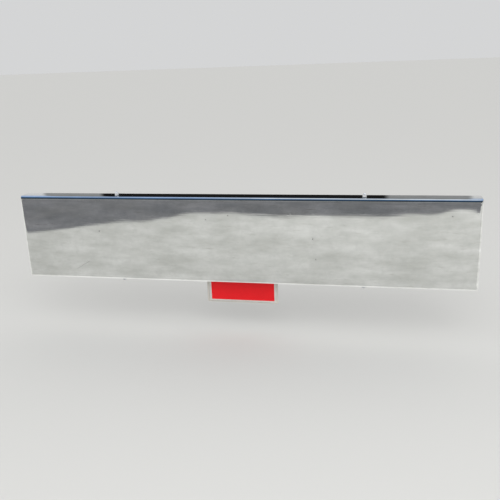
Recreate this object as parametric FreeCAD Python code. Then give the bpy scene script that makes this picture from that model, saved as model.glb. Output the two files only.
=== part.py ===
"""A chrome truck bumper with square boxed ends, the fixings hidden behind its plain face.

The front face looks along -Y, +Z is up and X runs across the truck. The origin lies on the truck's
centreline, in the plane where the two brackets bolt to the frame rails, at the middle of those bolts.
"Right" is +X, the right-hand side as seen by someone who stands in front of the face.
All lengths are in millimetres.
"""

import FreeCAD
import Part
import math
import os

from FreeCAD import Vector

# Bumper shell: one sheet, folded back on all four sides
bumper_width = 2390.0
bumper_height = 457.0
flange_depth = 85.0
sheet_thickness = 4.0
bend_inner_radius = 12.0
corner_inner_radius = 3.0

# Where the shell hangs on the truck
face_to_frame = 225.0
bumper_drop = 35.0
rail_spacing = 864.0

# Bolts that fasten the brackets to the frame rails, and how far their pads reach past them
frame_bolt_diameter = 16.0
frame_bolt_spacing_x = 110.0
frame_bolt_spacing_z = 140.0
pad_edge_x = 30.0
pad_edge_z = 35.0

# Frame brackets, welded up from plate
pad_thickness = 10.0
pad_corner = 10.0
front_pad_height = 260.0
web_thickness = 8.0
web_inset = 8.0
web_hole_diameter = 44.0
web_hole_offset = 60.0
gusset_thickness = 6.0
gusset_edge = 6.0
weld_leg = 5.0

# Backing plates, welded behind the face, and the studs welded to them
backing_thickness = 6.0
backing_corner = 12.0
stud_diameter = 16.0
stud_edge_x = 30.0
stud_edge_z = 40.0
washer_to_weld = 1.0

# Outer stiffeners, folded channels that stand between the two flanges
stiffener_gap = 92.0
stiffener_width = 70.0
stiffener_sheet = 4.0
stiffener_inner_radius = 4.0
stiffener_relief = 14.0
tab_width = 56.0
tab_edge = 14.0
flange_bolt_diameter = 12.0
flange_bolt_depth = 32.0
flange_bolt_to_fold = 15.0

# Braces, flat bar from each bracket out to its stiffener
brace_height = 50.0
brace_thickness = 8.0
brace_inner_radius = 8.0
brace_bolt_diameter = 12.0
brace_end_margin = 22.0
brace_straight_end = 34.0

# Number plate, its coloured sheeting and the carrier that it lies in
plate_width = 372.0
plate_height = 134.0
plate_thickness = 1.2
plate_corner = 4.0
film_border_x = 13.0
film_border_z = 9.5
film_thickness = 0.4
film_corner = 1.5
carrier_rim_x = 8.5
carrier_rim_z = 3.5
carrier_back = 2.0
carrier_lip = 3.2
carrier_top_gap = 3.0
plate_play = 0.5
plate_screw_diameter = 5.0
plate_screw_inset_x = 6.5
plate_screw_inset_z = 12.0

# Hanger, a folded angle that carries the plate below the lower flange
hanger_sheet = 3.0
hanger_inner_radius = 2.0
hanger_side_margin = 5.0
hanger_seat = 43.0
hanger_clearance = 9.0
hanger_drop = 122.0
hanger_corner = 10.0
hanger_bolt_diameter = 6.0
hanger_bolt_inset_x = 51.0
hanger_bolt_inset_y = 23.0

# Clearances that every bolted joint shares
hole_clearance = 0.75
washer_clearance = 0.5
thread_clearance = 0.1
thread_past_nut = 4.0
bolt_end_gap = 1.0

# Planes and levels that follow from the sizes above
front_y = -face_to_frame
shell_middle_z = -bumper_drop
shell_bottom_z = shell_middle_z - bumper_height / 2
shell_top_z = shell_middle_z + bumper_height / 2
inner_bottom_z = shell_bottom_z + sheet_thickness
inner_top_z = shell_top_z - sheet_thickness
bend_radius = bend_inner_radius + sheet_thickness
corner_radius = corner_inner_radius + sheet_thickness

bracket_x = rail_spacing / 2
pad_width = frame_bolt_spacing_x + 2 * pad_edge_x
rear_pad_height = frame_bolt_spacing_z + 2 * pad_edge_z
backing_front_y = front_y + sheet_thickness
backing_rear_y = backing_front_y + backing_thickness
front_pad_rear_y = backing_rear_y + pad_thickness
rear_pad_front_y = -pad_thickness

# The webs stand as far apart as the stud washers and the welds allow
stud_offset_x = pad_width / 2 - stud_edge_x
stud_offset_z = front_pad_height / 2 - stud_edge_z
web_outer_offset = stud_offset_x - stud_diameter - washer_to_weld - weld_leg
web_outer_x = bracket_x + web_outer_offset
web_middle_y = (front_pad_rear_y + rear_pad_front_y) / 2
web_middle_z = shell_middle_z / 2
gusset_reach = pad_width / 2 - web_outer_offset - gusset_edge

stiffener_x = bracket_x + pad_width / 2 + stiffener_gap + stiffener_width / 2
flange_bolt_y = front_y + flange_bolt_depth
tab_front_y = flange_bolt_y - tab_edge
stiffener_web_y = flange_bolt_y + flange_bolt_to_fold + stiffener_inner_radius
stiffener_rear_y = stiffener_web_y + stiffener_sheet

flange_rear_y = front_y + flange_depth
hanger_bolt_y = flange_rear_y - hanger_bolt_inset_y
hanger_leg_y = flange_rear_y + hanger_clearance
hanger_width = plate_width + 2 * hanger_side_margin
plate_rear_y = hanger_leg_y - carrier_back
plate_front_y = plate_rear_y - plate_thickness
carrier_front_y = plate_front_y - carrier_lip
carrier_depth = hanger_leg_y - carrier_front_y
carrier_width = plate_width + 2 * (plate_play + carrier_rim_x)
carrier_height = plate_height + 2 * (plate_play + carrier_rim_z)
plate_middle_z = inner_bottom_z - carrier_top_gap - carrier_height / 2

X_AXIS = Vector(1, 0, 0)
Y_AXIS = Vector(0, 1, 0)
Z_AXIS = Vector(0, 0, 1)
ORIGIN = Vector(0, 0, 0)


def box_between(low, high):
    """A box from its lowest to its highest corner."""
    size = high - low
    return Part.makeBox(size.x, size.y, size.z, low)


def prism(outline, rise):
    """A solid with this outline, pushed along rise."""
    return Part.Face(Part.makePolygon(outline + outline[:1])).extrude(rise)


def fused(shapes):
    """The shapes as one solid, with the seams between flush faces removed."""
    whole = shapes[0].multiFuse(shapes[1:])
    return whole.removeSplitter()


def aimed(shape, position, direction):
    """A shape made along +Z at the origin, turned to run along direction from position."""
    turned = shape.copy()
    turned.Placement = FreeCAD.Placement(position, FreeCAD.Rotation(Z_AXIS, direction))
    return turned


def stood_up(shape):
    """A shape drawn in the XY plane, turned so that its X runs along Y and its Y runs along Z."""
    turned = shape.copy()
    turned.rotate(ORIGIN, Vector(1, 1, 1), 120)
    return turned


def mirrored(shape):
    """The same piece for the left side of the truck."""
    return shape.mirror(ORIGIN, X_AXIS)


def edges_along(shape, axis, test):
    """The straight edges of shape that run along axis and whose first point passes test."""
    chosen = []
    for edge in shape.Edges:
        start = edge.Vertexes[0].Point
        run = edge.Vertexes[-1].Point - start
        if run.Length > 1e-6 and run.cross(axis).Length < 1e-6 * run.Length and test(start):
            chosen.append(edge)
    return chosen


def rounded_plate(width, thickness, height, corner):
    """An upright plate with round corners, its front at y = 0 and its middle at x = z = 0."""
    plate = box_between(Vector(-width / 2, 0, -height / 2), Vector(width / 2, thickness, height / 2))
    return plate.makeFillet(corner, edges_along(plate, Y_AXIS, lambda point: True))


def offset_corner(point, before, after, thickness):
    """Where the far faces of two walls meet, for walls whose near faces meet at point."""
    share = thickness / (1 + before[0] * after[0] + before[1] * after[1])
    return (point[0] + share * (before[0] + after[0]), point[1] + share * (before[1] + after[1]))


def folded_plate(path, side, thickness, breadth, inner_radius):
    """A plate folded along a path in the XY plane, its breadth centred on z = 0.

    The path is one face of the plate. side is 1 when the metal lies to the left of the path, else -1.
    """
    directions = []
    for start, end in zip(path, path[1:]):
        length = math.dist(start, end)
        directions.append(((end[0] - start[0]) / length, (end[1] - start[1]) / length))
    normals = [(-dy * side, dx * side) for dx, dy in directions]

    far_face = [offset_corner(path[0], normals[0], normals[0], thickness)]
    for point, before, after in zip(path[1:-1], normals, normals[1:]):
        far_face.append(offset_corner(point, before, after, thickness))
    far_face.append(offset_corner(path[-1], normals[-1], normals[-1], thickness))
    outline = [Vector(x, y, -breadth / 2) for x, y in path + far_face[::-1]]
    plate = prism(outline, Vector(0, 0, breadth))

    for index in range(1, len(path) - 1):
        before, after = directions[index - 1], directions[index]
        turns_left = before[0] * after[1] - before[1] * after[0] > 0
        metal_outside = turns_left != (side > 0)
        for (x, y), is_inner in ((path[index], metal_outside), (far_face[index], not metal_outside)):
            radius = inner_radius if is_inner else inner_radius + thickness
            fold = edges_along(plate, Z_AXIS, lambda p: math.dist((p.x, p.y), (x, y)) < 1e-4)
            plate = plate.makeFillet(radius, fold)
    return plate


def hole(diameter, position, direction, length):
    """What a drill removes for a bolt of this diameter, from position along direction."""
    return Part.makeCylinder(diameter / 2 + hole_clearance, length, position, direction)


def nut_height(diameter):
    return 0.8 * diameter


def washer_thickness(diameter):
    return 0.2 * diameter


def cap_nut_bore(diameter):
    return 1.15 * diameter


def hexagon(diameter, height):
    """The hexagon of a nut or a bolt's head; a negative height hangs it below z = 0."""
    across_flats = 1.5 * diameter + 1
    corner = across_flats / math.sqrt(3)
    outline = []
    for turn in range(6):
        angle = math.radians(60 * turn)
        outline.append(Vector(corner * math.cos(angle), corner * math.sin(angle), 0))
    return prism(outline, Vector(0, 0, height))


def hex_bolt(diameter, reach):
    """A hexagon-head bolt: the head hangs below z = 0 and the shank rises by reach."""
    return fused([hexagon(diameter, -0.65 * diameter), Part.makeCylinder(diameter / 2, reach)])


def hex_nut(diameter):
    """A plain nut that stands on z = 0."""
    height = nut_height(diameter)
    bore = Part.makeCylinder(diameter / 2 + thread_clearance, height)
    return hexagon(diameter, height).cut(bore)


def washer(diameter):
    """A flat washer that lies on z = 0."""
    disc = Part.makeCylinder(diameter, washer_thickness(diameter))
    return disc.cut(Part.makeCylinder(diameter / 2 + washer_clearance, washer_thickness(diameter)))


def cap_nut(diameter):
    """A domed nut that stands on z = 0 and hides the bolt's end."""
    dome_radius = 0.71 * diameter
    dome_middle = 1.6 * diameter - dome_radius
    base = hexagon(diameter, nut_height(diameter))
    neck = Part.makeCylinder(dome_radius, dome_middle)
    dome = Part.makeSphere(dome_radius, Vector(0, 0, dome_middle), Z_AXIS, 0, 90)
    bore = Part.makeCylinder(diameter / 2 + thread_clearance, cap_nut_bore(diameter))
    return fused([base, neck, dome]).cut(bore)


def round_head_screw(diameter, reach):
    """A screw with a low round head below z = 0 and a shank that rises by reach."""
    head = Part.makeCylinder(0.95 * diameter, 0.55 * diameter, ORIGIN, -Z_AXIS)
    return fused([head, Part.makeCylinder(diameter / 2, reach)])


def corner_bend(depth, bend, corner):
    """The quarter of a turned block that fills one corner, from the Y axis out to +X and +Z.

    Its outline is the sheet's own bend, which starts where the flat face is the corner radius wide.
    """
    inset = bend - corner
    face_y = bend - math.sqrt(bend ** 2 - inset ** 2)
    half_angle = math.acos(inset / bend) / 2
    arc_middle = Vector(bend * math.cos(half_angle) - inset, bend - bend * math.sin(half_angle), 0)
    side_top = Vector(corner, bend, 0)
    side_end = Vector(corner, depth, 0)
    axis_end = Vector(0, depth, 0)
    axis_start = Vector(0, face_y, 0)
    profile = Part.Wire([
        Part.Arc(axis_start, arc_middle, side_top).toShape(),
        Part.makeLine(side_top, side_end),
        Part.makeLine(side_end, axis_end),
        Part.makeLine(axis_end, axis_start),
    ])
    return Part.Face(profile).revolve(ORIGIN, Y_AXIS, -90)


def bent_block(width, depth, height, bend, corner):
    """A solid block with its front at y = 0 and its middle at x = z = 0, bent over on all four sides.

    A block bent at its top and bottom and one bent at its two ends meet in a mitre at each corner,
    and there the mitre is exchanged for the same bend turned about the corner's own radius.
    """
    low = Vector(-width / 2, 0, -height / 2)
    high = Vector(width / 2, depth, height / 2)
    level = box_between(low, high)
    upright = box_between(low, high)
    level = level.makeFillet(bend, edges_along(level, X_AXIS, lambda point: point.y < depth / 2))
    upright = upright.makeFillet(bend, edges_along(upright, Z_AXIS, lambda point: point.y < depth / 2))
    block = level.common(upright)

    quarter = corner_bend(depth, bend, corner)
    for side_x in (-1, 1):
        for side_z in (-1, 1):
            middle = Vector(side_x * (width / 2 - corner), 0, side_z * (height / 2 - corner))
            tip = Vector(side_x * width / 2, depth, side_z * height / 2)
            low = Vector(min(middle.x, tip.x), 0, min(middle.z, tip.z))
            high = Vector(max(middle.x, tip.x), depth, max(middle.z, tip.z))
            piece = quarter.copy()
            if side_x < 0:
                piece = piece.mirror(ORIGIN, X_AXIS)
            if side_z < 0:
                piece = piece.mirror(ORIGIN, Z_AXIS)
            piece.translate(middle)
            block = block.cut(box_between(low, high)).fuse(piece)
    return block.removeSplitter()


def bumper_shell():
    """The chromed sheet: a flat face with upper and lower flanges and an end return on each side."""
    outside = bent_block(bumper_width, flange_depth, bumper_height, bend_radius, corner_radius)
    hollow_width = bumper_width - 2 * sheet_thickness
    hollow_height = bumper_height - 2 * sheet_thickness
    hollow = bent_block(hollow_width, flange_depth, hollow_height, bend_inner_radius, corner_inner_radius)
    hollow.translate(Vector(0, sheet_thickness, 0))
    shell = outside.cut(hollow)
    shell.translate(Vector(0, front_y, shell_middle_z))

    for x in (-stiffener_x, stiffener_x):
        place = Vector(x, flange_bolt_y, shell_bottom_z)
        shell = shell.cut(hole(flange_bolt_diameter, place, Z_AXIS, bumper_height))
    for place in hanger_bolt_places(shell_bottom_z):
        shell = shell.cut(hole(hanger_bolt_diameter, place, Z_AXIS, sheet_thickness))
    return shell


def four_places(offset_x, y, middle_z, offset_z):
    """The corners of a rectangle of bolts round the right-hand bracket's middle."""
    return [
        Vector(bracket_x + side_x * offset_x, y, middle_z + side_z * offset_z)
        for side_x in (-1, 1)
        for side_z in (-1, 1)
    ]


def stud_places(y):
    return four_places(stud_offset_x, y, shell_middle_z, stud_offset_z)


def right_backing_plate():
    plate = rounded_plate(pad_width, backing_thickness, front_pad_height, backing_corner)
    plate.translate(Vector(bracket_x, backing_front_y, shell_middle_z))
    return plate


def right_weld_studs():
    through = pad_thickness + washer_thickness(stud_diameter) + nut_height(stud_diameter)
    one = Part.makeCylinder(stud_diameter / 2, through + thread_past_nut)
    return [aimed(one, place, Y_AXIS) for place in stud_places(backing_rear_y)]


def right_stud_washers():
    return [aimed(washer(stud_diameter), place, Y_AXIS) for place in stud_places(front_pad_rear_y)]


def right_stud_nuts():
    seat_y = front_pad_rear_y + washer_thickness(stud_diameter)
    return [aimed(hex_nut(stud_diameter), place, Y_AXIS) for place in stud_places(seat_y)]


def bracket_web(low_x):
    """One web of a frame bracket: it steps down from the frame to the lower-hung bumper."""
    front_half = front_pad_height / 2 - web_inset
    rear_half = rear_pad_height / 2 - web_inset
    outline = [
        Vector(low_x, front_pad_rear_y, shell_middle_z - front_half),
        Vector(low_x, rear_pad_front_y, -rear_half),
        Vector(low_x, rear_pad_front_y, rear_half),
        Vector(low_x, front_pad_rear_y, shell_middle_z + front_half),
    ]
    web = prism(outline, Vector(web_thickness, 0, 0))
    for side in (-1, 1):
        centre = Vector(low_x, web_middle_y, web_middle_z + side * web_hole_offset)
        web = web.cut(Part.makeCylinder(web_hole_diameter / 2, web_thickness, centre, X_AXIS))
    brace_hole = Vector(low_x, web_middle_y, web_middle_z)
    return web.cut(hole(brace_bolt_diameter, brace_hole, X_AXIS, web_thickness))


def corner_wedge(x, y, leg, low_z, high_z, side_x, side_y):
    """A three-sided bar in the corner between a web's face, at x, and a pad's face, at y."""
    outline = [
        Vector(x, y, low_z),
        Vector(x + side_x * leg, y, low_z),
        Vector(x, y + side_y * leg, low_z),
    ]
    return prism(outline, Vector(0, 0, high_z - low_z))


def right_frame_bracket():
    """Two pads joined by two tapered webs, with a gusset and a weld in each outer corner."""
    front_pad = rounded_plate(pad_width, pad_thickness, front_pad_height, pad_corner)
    front_pad.translate(Vector(bracket_x, backing_rear_y, shell_middle_z))
    rear_pad = rounded_plate(pad_width, pad_thickness, rear_pad_height, pad_corner)
    rear_pad.translate(Vector(bracket_x, rear_pad_front_y, 0))
    pieces = [front_pad, rear_pad]

    front_corner = (front_pad_rear_y, shell_middle_z, front_pad_height, 1)
    rear_corner = (rear_pad_front_y, 0, rear_pad_height, -1)
    for side_x in (-1, 1):
        face_x = bracket_x + side_x * web_outer_offset
        pieces.append(bracket_web(min(face_x, face_x - side_x * web_thickness)))
        for y, middle_z, pad_height, side_y in (front_corner, rear_corner):
            weld_half = pad_height / 2 - web_inset - weld_leg
            low_z, high_z = middle_z - weld_half, middle_z + weld_half
            pieces.append(corner_wedge(face_x, y, weld_leg, low_z, high_z, side_x, side_y))
            low_z, high_z = middle_z - gusset_thickness / 2, middle_z + gusset_thickness / 2
            pieces.append(corner_wedge(face_x, y, gusset_reach, low_z, high_z, side_x, side_y))
    bracket = fused(pieces)

    for place in stud_places(backing_rear_y):
        bracket = bracket.cut(hole(stud_diameter, place, Y_AXIS, pad_thickness))
    for place in four_places(frame_bolt_spacing_x / 2, rear_pad_front_y, 0, frame_bolt_spacing_z / 2):
        bracket = bracket.cut(hole(frame_bolt_diameter, place, Y_AXIS, pad_thickness))
    return bracket


def right_stiffener():
    """A folded channel with its web to the rear, and a tab at each end that bolts to a flange."""
    low_x = stiffener_x - stiffener_width / 2
    high_x = stiffener_x + stiffener_width / 2
    inside_height = inner_top_z - inner_bottom_z
    channel_path = [
        (low_x, front_y + sheet_thickness),
        (low_x, stiffener_rear_y),
        (high_x, stiffener_rear_y),
        (high_x, front_y + sheet_thickness),
    ]
    channel_height = inside_height - 2 * stiffener_relief
    channel = folded_plate(channel_path, -1, stiffener_sheet, channel_height, stiffener_inner_radius)
    channel.translate(Vector(0, 0, shell_middle_z))

    strip_path = [
        (tab_front_y, inner_bottom_z),
        (stiffener_rear_y, inner_bottom_z),
        (stiffener_rear_y, inner_top_z),
        (tab_front_y, inner_top_z),
    ]
    strip = stood_up(folded_plate(strip_path, 1, stiffener_sheet, tab_width, stiffener_inner_radius))
    strip.translate(Vector(stiffener_x, 0, 0))
    stiffener = fused([channel, strip])

    low_tab = Vector(stiffener_x, flange_bolt_y, inner_bottom_z)
    web_place = Vector(stiffener_x, stiffener_web_y, web_middle_z)
    return stiffener.cut([
        hole(flange_bolt_diameter, low_tab, Z_AXIS, inside_height),
        hole(brace_bolt_diameter, web_place, Y_AXIS, stiffener_sheet),
    ])


def on_flange_bolt_line(shape, z, direction):
    """A fastener of the right-hand stiffener, seated at this height on the line of its flange bolts."""
    return aimed(shape, Vector(stiffener_x, flange_bolt_y, z), direction)


def right_top_bolt():
    """The head sits under the tab, and the tip stops short of the bottom of the cap nut's bore."""
    through = stiffener_sheet + sheet_thickness + washer_thickness(flange_bolt_diameter)
    reach = through + cap_nut_bore(flange_bolt_diameter) - bolt_end_gap
    bolt = hex_bolt(flange_bolt_diameter, reach)
    return on_flange_bolt_line(bolt, inner_top_z - stiffener_sheet, Z_AXIS)


def right_top_washer():
    return on_flange_bolt_line(washer(flange_bolt_diameter), shell_top_z, Z_AXIS)


def right_cap_nut():
    seat_z = shell_top_z + washer_thickness(flange_bolt_diameter)
    return on_flange_bolt_line(cap_nut(flange_bolt_diameter), seat_z, Z_AXIS)


def right_bottom_washer():
    return on_flange_bolt_line(washer(flange_bolt_diameter), shell_bottom_z, -Z_AXIS)


def right_bottom_bolt():
    seat_z = shell_bottom_z - washer_thickness(flange_bolt_diameter)
    nut_top_z = inner_bottom_z + stiffener_sheet + nut_height(flange_bolt_diameter)
    bolt = hex_bolt(flange_bolt_diameter, nut_top_z + thread_past_nut - seat_z)
    return on_flange_bolt_line(bolt, seat_z, Z_AXIS)


def right_bottom_nut():
    return on_flange_bolt_line(hex_nut(flange_bolt_diameter), inner_bottom_z + stiffener_sheet, Z_AXIS)


def right_brace():
    """A flat bar, bent to lie flush on the bracket's outer web and on the stiffener's rear."""
    path = [
        (web_outer_x, web_middle_y + brace_end_margin),
        (web_outer_x, web_middle_y - brace_straight_end),
        (stiffener_x - brace_straight_end, stiffener_rear_y),
        (stiffener_x + brace_end_margin, stiffener_rear_y),
    ]
    brace = folded_plate(path, 1, brace_thickness, brace_height, brace_inner_radius)
    brace.translate(Vector(0, 0, web_middle_z))
    inner_place = Vector(web_outer_x, web_middle_y, web_middle_z)
    outer_place = Vector(stiffener_x, stiffener_rear_y, web_middle_z)
    return brace.cut([
        hole(brace_bolt_diameter, inner_place, X_AXIS, brace_thickness),
        hole(brace_bolt_diameter, outer_place, Y_AXIS, brace_thickness),
    ])


def brace_bolt(plate_behind):
    """A bolt that takes its washer, the brace, the plate behind it and the nut."""
    grip = washer_thickness(brace_bolt_diameter) + brace_thickness + plate_behind
    return hex_bolt(brace_bolt_diameter, grip + nut_height(brace_bolt_diameter) + thread_past_nut)


def on_inner_brace_line(shape, x, direction):
    """A fastener at the end of the right-hand brace that is bolted to the bracket."""
    return aimed(shape, Vector(x, web_middle_y, web_middle_z), direction)


def on_outer_brace_line(shape, y, direction):
    """A fastener at the end of the right-hand brace that is bolted to the stiffener."""
    return aimed(shape, Vector(stiffener_x, y, web_middle_z), direction)


def right_brace_inner_washer():
    return on_inner_brace_line(washer(brace_bolt_diameter), web_outer_x + brace_thickness, X_AXIS)


def right_brace_inner_bolt():
    seat_x = web_outer_x + brace_thickness + washer_thickness(brace_bolt_diameter)
    return on_inner_brace_line(brace_bolt(web_thickness), seat_x, -X_AXIS)


def right_brace_inner_nut():
    return on_inner_brace_line(hex_nut(brace_bolt_diameter), web_outer_x - web_thickness, -X_AXIS)


def right_brace_outer_washer():
    return on_outer_brace_line(washer(brace_bolt_diameter), stiffener_rear_y + brace_thickness, Y_AXIS)


def right_brace_outer_bolt():
    seat_y = stiffener_rear_y + brace_thickness + washer_thickness(brace_bolt_diameter)
    return on_outer_brace_line(brace_bolt(stiffener_sheet), seat_y, -Y_AXIS)


def right_brace_outer_nut():
    return on_outer_brace_line(hex_nut(brace_bolt_diameter), stiffener_web_y, -Y_AXIS)


def hanger_bolt_places(z):
    x = hanger_width / 2 - hanger_bolt_inset_x
    return [Vector(-x, hanger_bolt_y, z), Vector(x, hanger_bolt_y, z)]


def plate_screw_places(y):
    """The two screws sit in the plate's plain border, near its upper corners."""
    x = plate_width / 2 - plate_screw_inset_x
    z = plate_middle_z + plate_height / 2 - plate_screw_inset_z
    return [Vector(-x, y, z), Vector(x, y, z)]


def plate_hanger():
    """A folded angle on top of the lower flange, its long leg hanging behind the flange's rear edge."""
    path = [
        (flange_rear_y - hanger_seat, inner_bottom_z),
        (hanger_leg_y, inner_bottom_z),
        (hanger_leg_y, inner_bottom_z - hanger_drop),
    ]
    hanger = stood_up(folded_plate(path, 1, hanger_sheet, hanger_width, hanger_inner_radius))
    leg_end_z = inner_bottom_z - hanger_drop
    low_corners = edges_along(hanger, Y_AXIS, lambda point: point.z < leg_end_z + hanger_sheet)
    hanger = hanger.makeFillet(hanger_corner, low_corners)
    for place in hanger_bolt_places(inner_bottom_z):
        hanger = hanger.cut(hole(hanger_bolt_diameter, place, Z_AXIS, hanger_sheet))
    for place in plate_screw_places(hanger_leg_y):
        hanger = hanger.cut(hole(plate_screw_diameter, place, Y_AXIS, hanger_sheet))
    return hanger


def hanger_bolts():
    seat_z = shell_bottom_z - washer_thickness(hanger_bolt_diameter)
    nut_top_z = inner_bottom_z + hanger_sheet + nut_height(hanger_bolt_diameter)
    one = hex_bolt(hanger_bolt_diameter, nut_top_z + thread_past_nut - seat_z)
    return [aimed(one, place, Z_AXIS) for place in hanger_bolt_places(seat_z)]


def hanger_washers():
    one = washer(hanger_bolt_diameter)
    return [aimed(one, place, -Z_AXIS) for place in hanger_bolt_places(shell_bottom_z)]


def hanger_nuts():
    one = hex_nut(hanger_bolt_diameter)
    return [aimed(one, place, Z_AXIS) for place in hanger_bolt_places(inner_bottom_z + hanger_sheet)]


def plate_carrier():
    """A shallow tray: a thin back with a raised rim that the number plate drops into."""
    tray = rounded_plate(carrier_width, carrier_depth, carrier_height, plate_corner + carrier_rim_z)
    pocket_width = carrier_width - 2 * carrier_rim_x
    pocket_height = carrier_height - 2 * carrier_rim_z
    tray = tray.cut(rounded_plate(pocket_width, carrier_depth - carrier_back, pocket_height, plate_corner))
    tray.translate(Vector(0, carrier_front_y, plate_middle_z))
    for place in plate_screw_places(plate_rear_y):
        tray = tray.cut(hole(plate_screw_diameter, place, Y_AXIS, carrier_back))
    return tray


def number_plate():
    plate = rounded_plate(plate_width, plate_thickness, plate_height, plate_corner)
    plate.translate(Vector(0, plate_front_y, plate_middle_z))
    for place in plate_screw_places(plate_front_y):
        plate = plate.cut(hole(plate_screw_diameter, place, Y_AXIS, plate_thickness))
    return plate


def plate_film():
    """The coloured sheeting on the plate's middle; it carries no characters."""
    width = plate_width - 2 * film_border_x
    height = plate_height - 2 * film_border_z
    film = rounded_plate(width, film_thickness, height, film_corner)
    film.translate(Vector(0, plate_front_y - film_thickness, plate_middle_z))
    return film


def plate_screws():
    nut_end_y = hanger_leg_y + hanger_sheet + nut_height(plate_screw_diameter)
    one = round_head_screw(plate_screw_diameter, nut_end_y + thread_past_nut - plate_front_y)
    return [aimed(one, place, Y_AXIS) for place in plate_screw_places(plate_front_y)]


def plate_nuts():
    one = hex_nut(plate_screw_diameter)
    return [aimed(one, place, Y_AXIS) for place in plate_screw_places(hanger_leg_y + hanger_sheet)]


SINGLE_PIECES = [
    bumper_shell,
    plate_hanger,
    hanger_bolts,
    hanger_washers,
    hanger_nuts,
    plate_carrier,
    number_plate,
    plate_film,
    plate_screws,
    plate_nuts,
]

# Each of these is made for the right-hand side and mirrored for the left
PAIRED_PIECES = [
    right_backing_plate,
    right_weld_studs,
    right_frame_bracket,
    right_stud_washers,
    right_stud_nuts,
    right_stiffener,
    right_top_bolt,
    right_top_washer,
    right_cap_nut,
    right_bottom_washer,
    right_bottom_bolt,
    right_bottom_nut,
    right_brace,
    right_brace_inner_washer,
    right_brace_inner_bolt,
    right_brace_inner_nut,
    right_brace_outer_washer,
    right_brace_outer_bolt,
    right_brace_outer_nut,
]


def save(name, solids):
    """Writes one sub-part; like solids that share a sub-part go in as a group."""
    shape = solids[0] if len(solids) == 1 else Part.makeCompound(solids)
    shape.exportStep(os.path.join("parts", name + ".step"))
    print(f"{name}: {len(shape.Solids)} solid(s), valid {shape.isValid()}, {shape.Volume / 1000:.2f} cm3")


def main():
    os.makedirs("parts", exist_ok=True)
    for make in SINGLE_PIECES:
        made = make()
        save(make.__name__, made if isinstance(made, list) else [made])
    for make in PAIRED_PIECES:
        made = make()
        solids = made if isinstance(made, list) else [made]
        save(make.__name__, solids)
        save(make.__name__.replace("right_", "left_"), [mirrored(solid) for solid in solids])


main()
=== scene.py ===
# %% [markdown]
# # A chrome truck bumper, dressed
#
# The bumper is one long folded sheet of chromed steel with a plain face and square boxed ends. Everything
# that holds it hides behind that face, and a number plate hangs below it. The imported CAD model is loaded
# first and gives every piece its place. Each step below then models one piece, or mixes one finish.

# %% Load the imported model
import itertools
import math

import bmesh
import bpy
from mathutils import Matrix, Vector, noise


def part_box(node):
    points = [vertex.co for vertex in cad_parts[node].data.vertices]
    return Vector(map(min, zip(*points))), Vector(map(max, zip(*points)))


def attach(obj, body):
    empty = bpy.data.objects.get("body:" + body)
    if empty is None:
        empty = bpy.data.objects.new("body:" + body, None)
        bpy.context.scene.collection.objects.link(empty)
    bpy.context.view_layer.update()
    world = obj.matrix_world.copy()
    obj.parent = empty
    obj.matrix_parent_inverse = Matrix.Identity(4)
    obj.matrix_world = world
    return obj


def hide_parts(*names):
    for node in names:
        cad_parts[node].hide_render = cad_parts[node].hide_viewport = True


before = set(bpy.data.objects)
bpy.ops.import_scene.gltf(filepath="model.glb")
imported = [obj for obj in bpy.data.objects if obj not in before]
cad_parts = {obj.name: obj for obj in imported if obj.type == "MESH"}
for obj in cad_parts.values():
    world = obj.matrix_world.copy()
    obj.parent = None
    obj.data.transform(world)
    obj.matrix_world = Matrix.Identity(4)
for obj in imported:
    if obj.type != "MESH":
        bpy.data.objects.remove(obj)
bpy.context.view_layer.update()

# %% [markdown]
# The face is flat, so its four corners in the picture give the lens and the place of the camera: a little
# to the right of the middle, above the top edge and three metres away. A camera looks down its own -Z, so
# it is first rolled, then tipped up from the floor and last turned about the vertical.

# %% Camera
SHELL_LOW, SHELL_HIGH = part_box("bumper_shell")
FACE_Y = SHELL_LOW.y
CAMERA_PLACE = Vector((0.779, FACE_Y - 3.152, SHELL_HIGH.z + 0.7074))
CAMERA_TURN = 0.22115
CAMERA_TIP = math.pi / 2 - 0.29446
CAMERA_ROLL = -0.04075
FOCAL_LENGTH_PX = 659.3
FRAME_WIDTH_PX = 500
SENSOR_WIDTH_MM = 36

bpy.ops.object.camera_add()
camera = bpy.context.object
camera.name = "camera"
camera.matrix_world = (
    Matrix.Translation(CAMERA_PLACE)
    @ Matrix.Rotation(CAMERA_TURN, 4, "Z")
    @ Matrix.Rotation(CAMERA_TIP, 4, "X")
    @ Matrix.Rotation(CAMERA_ROLL, 4, "Z")
)
camera.data.sensor_fit = "HORIZONTAL"
camera.data.sensor_width = SENSOR_WIDTH_MM
camera.data.lens = SENSOR_WIDTH_MM * FOCAL_LENGTH_PX / FRAME_WIDTH_PX
camera.data.clip_end = 200
bpy.context.scene.camera = camera
bpy.context.scene.view_settings.view_transform = "Standard"
print("camera", tuple(round(value, 3) for value in CAMERA_PLACE), "lens", round(camera.data.lens, 1))

# %% [markdown]
# An operator works on whatever is selected, and a new primitive is selected all over. These helpers make
# the selection plain: one object, or only those of its points, edges or faces that pass a test.

# %% Helpers for selecting and shaping
X, Y, Z = 0, 1, 2
RIGHT, LEFT = (1, 0, 0), (-1, 0, 0)
BACK, FRONT = (0, 1, 0), (0, -1, 0)
UP, DOWN = (0, 0, 1), (0, 0, -1)


def only(obj):
    """Makes obj the one selected object, and the active one."""
    bpy.ops.object.select_all(action="DESELECT")
    obj.select_set(True)
    bpy.context.view_layer.objects.active = obj
    return obj


def settle(obj, name):
    """Names a piece and puts its place, turn and size into its mesh."""
    only(obj)
    bpy.ops.object.transform_apply(location=True, rotation=True, scale=True)
    obj.name = name
    obj.data.name = name
    return obj


def join(*objects):
    """Makes the objects one, and returns the first."""
    only(objects[0])
    for other in objects[1:]:
        other.select_set(True)
    if len(objects) > 1:
        bpy.ops.object.join()
    return objects[0]


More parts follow.
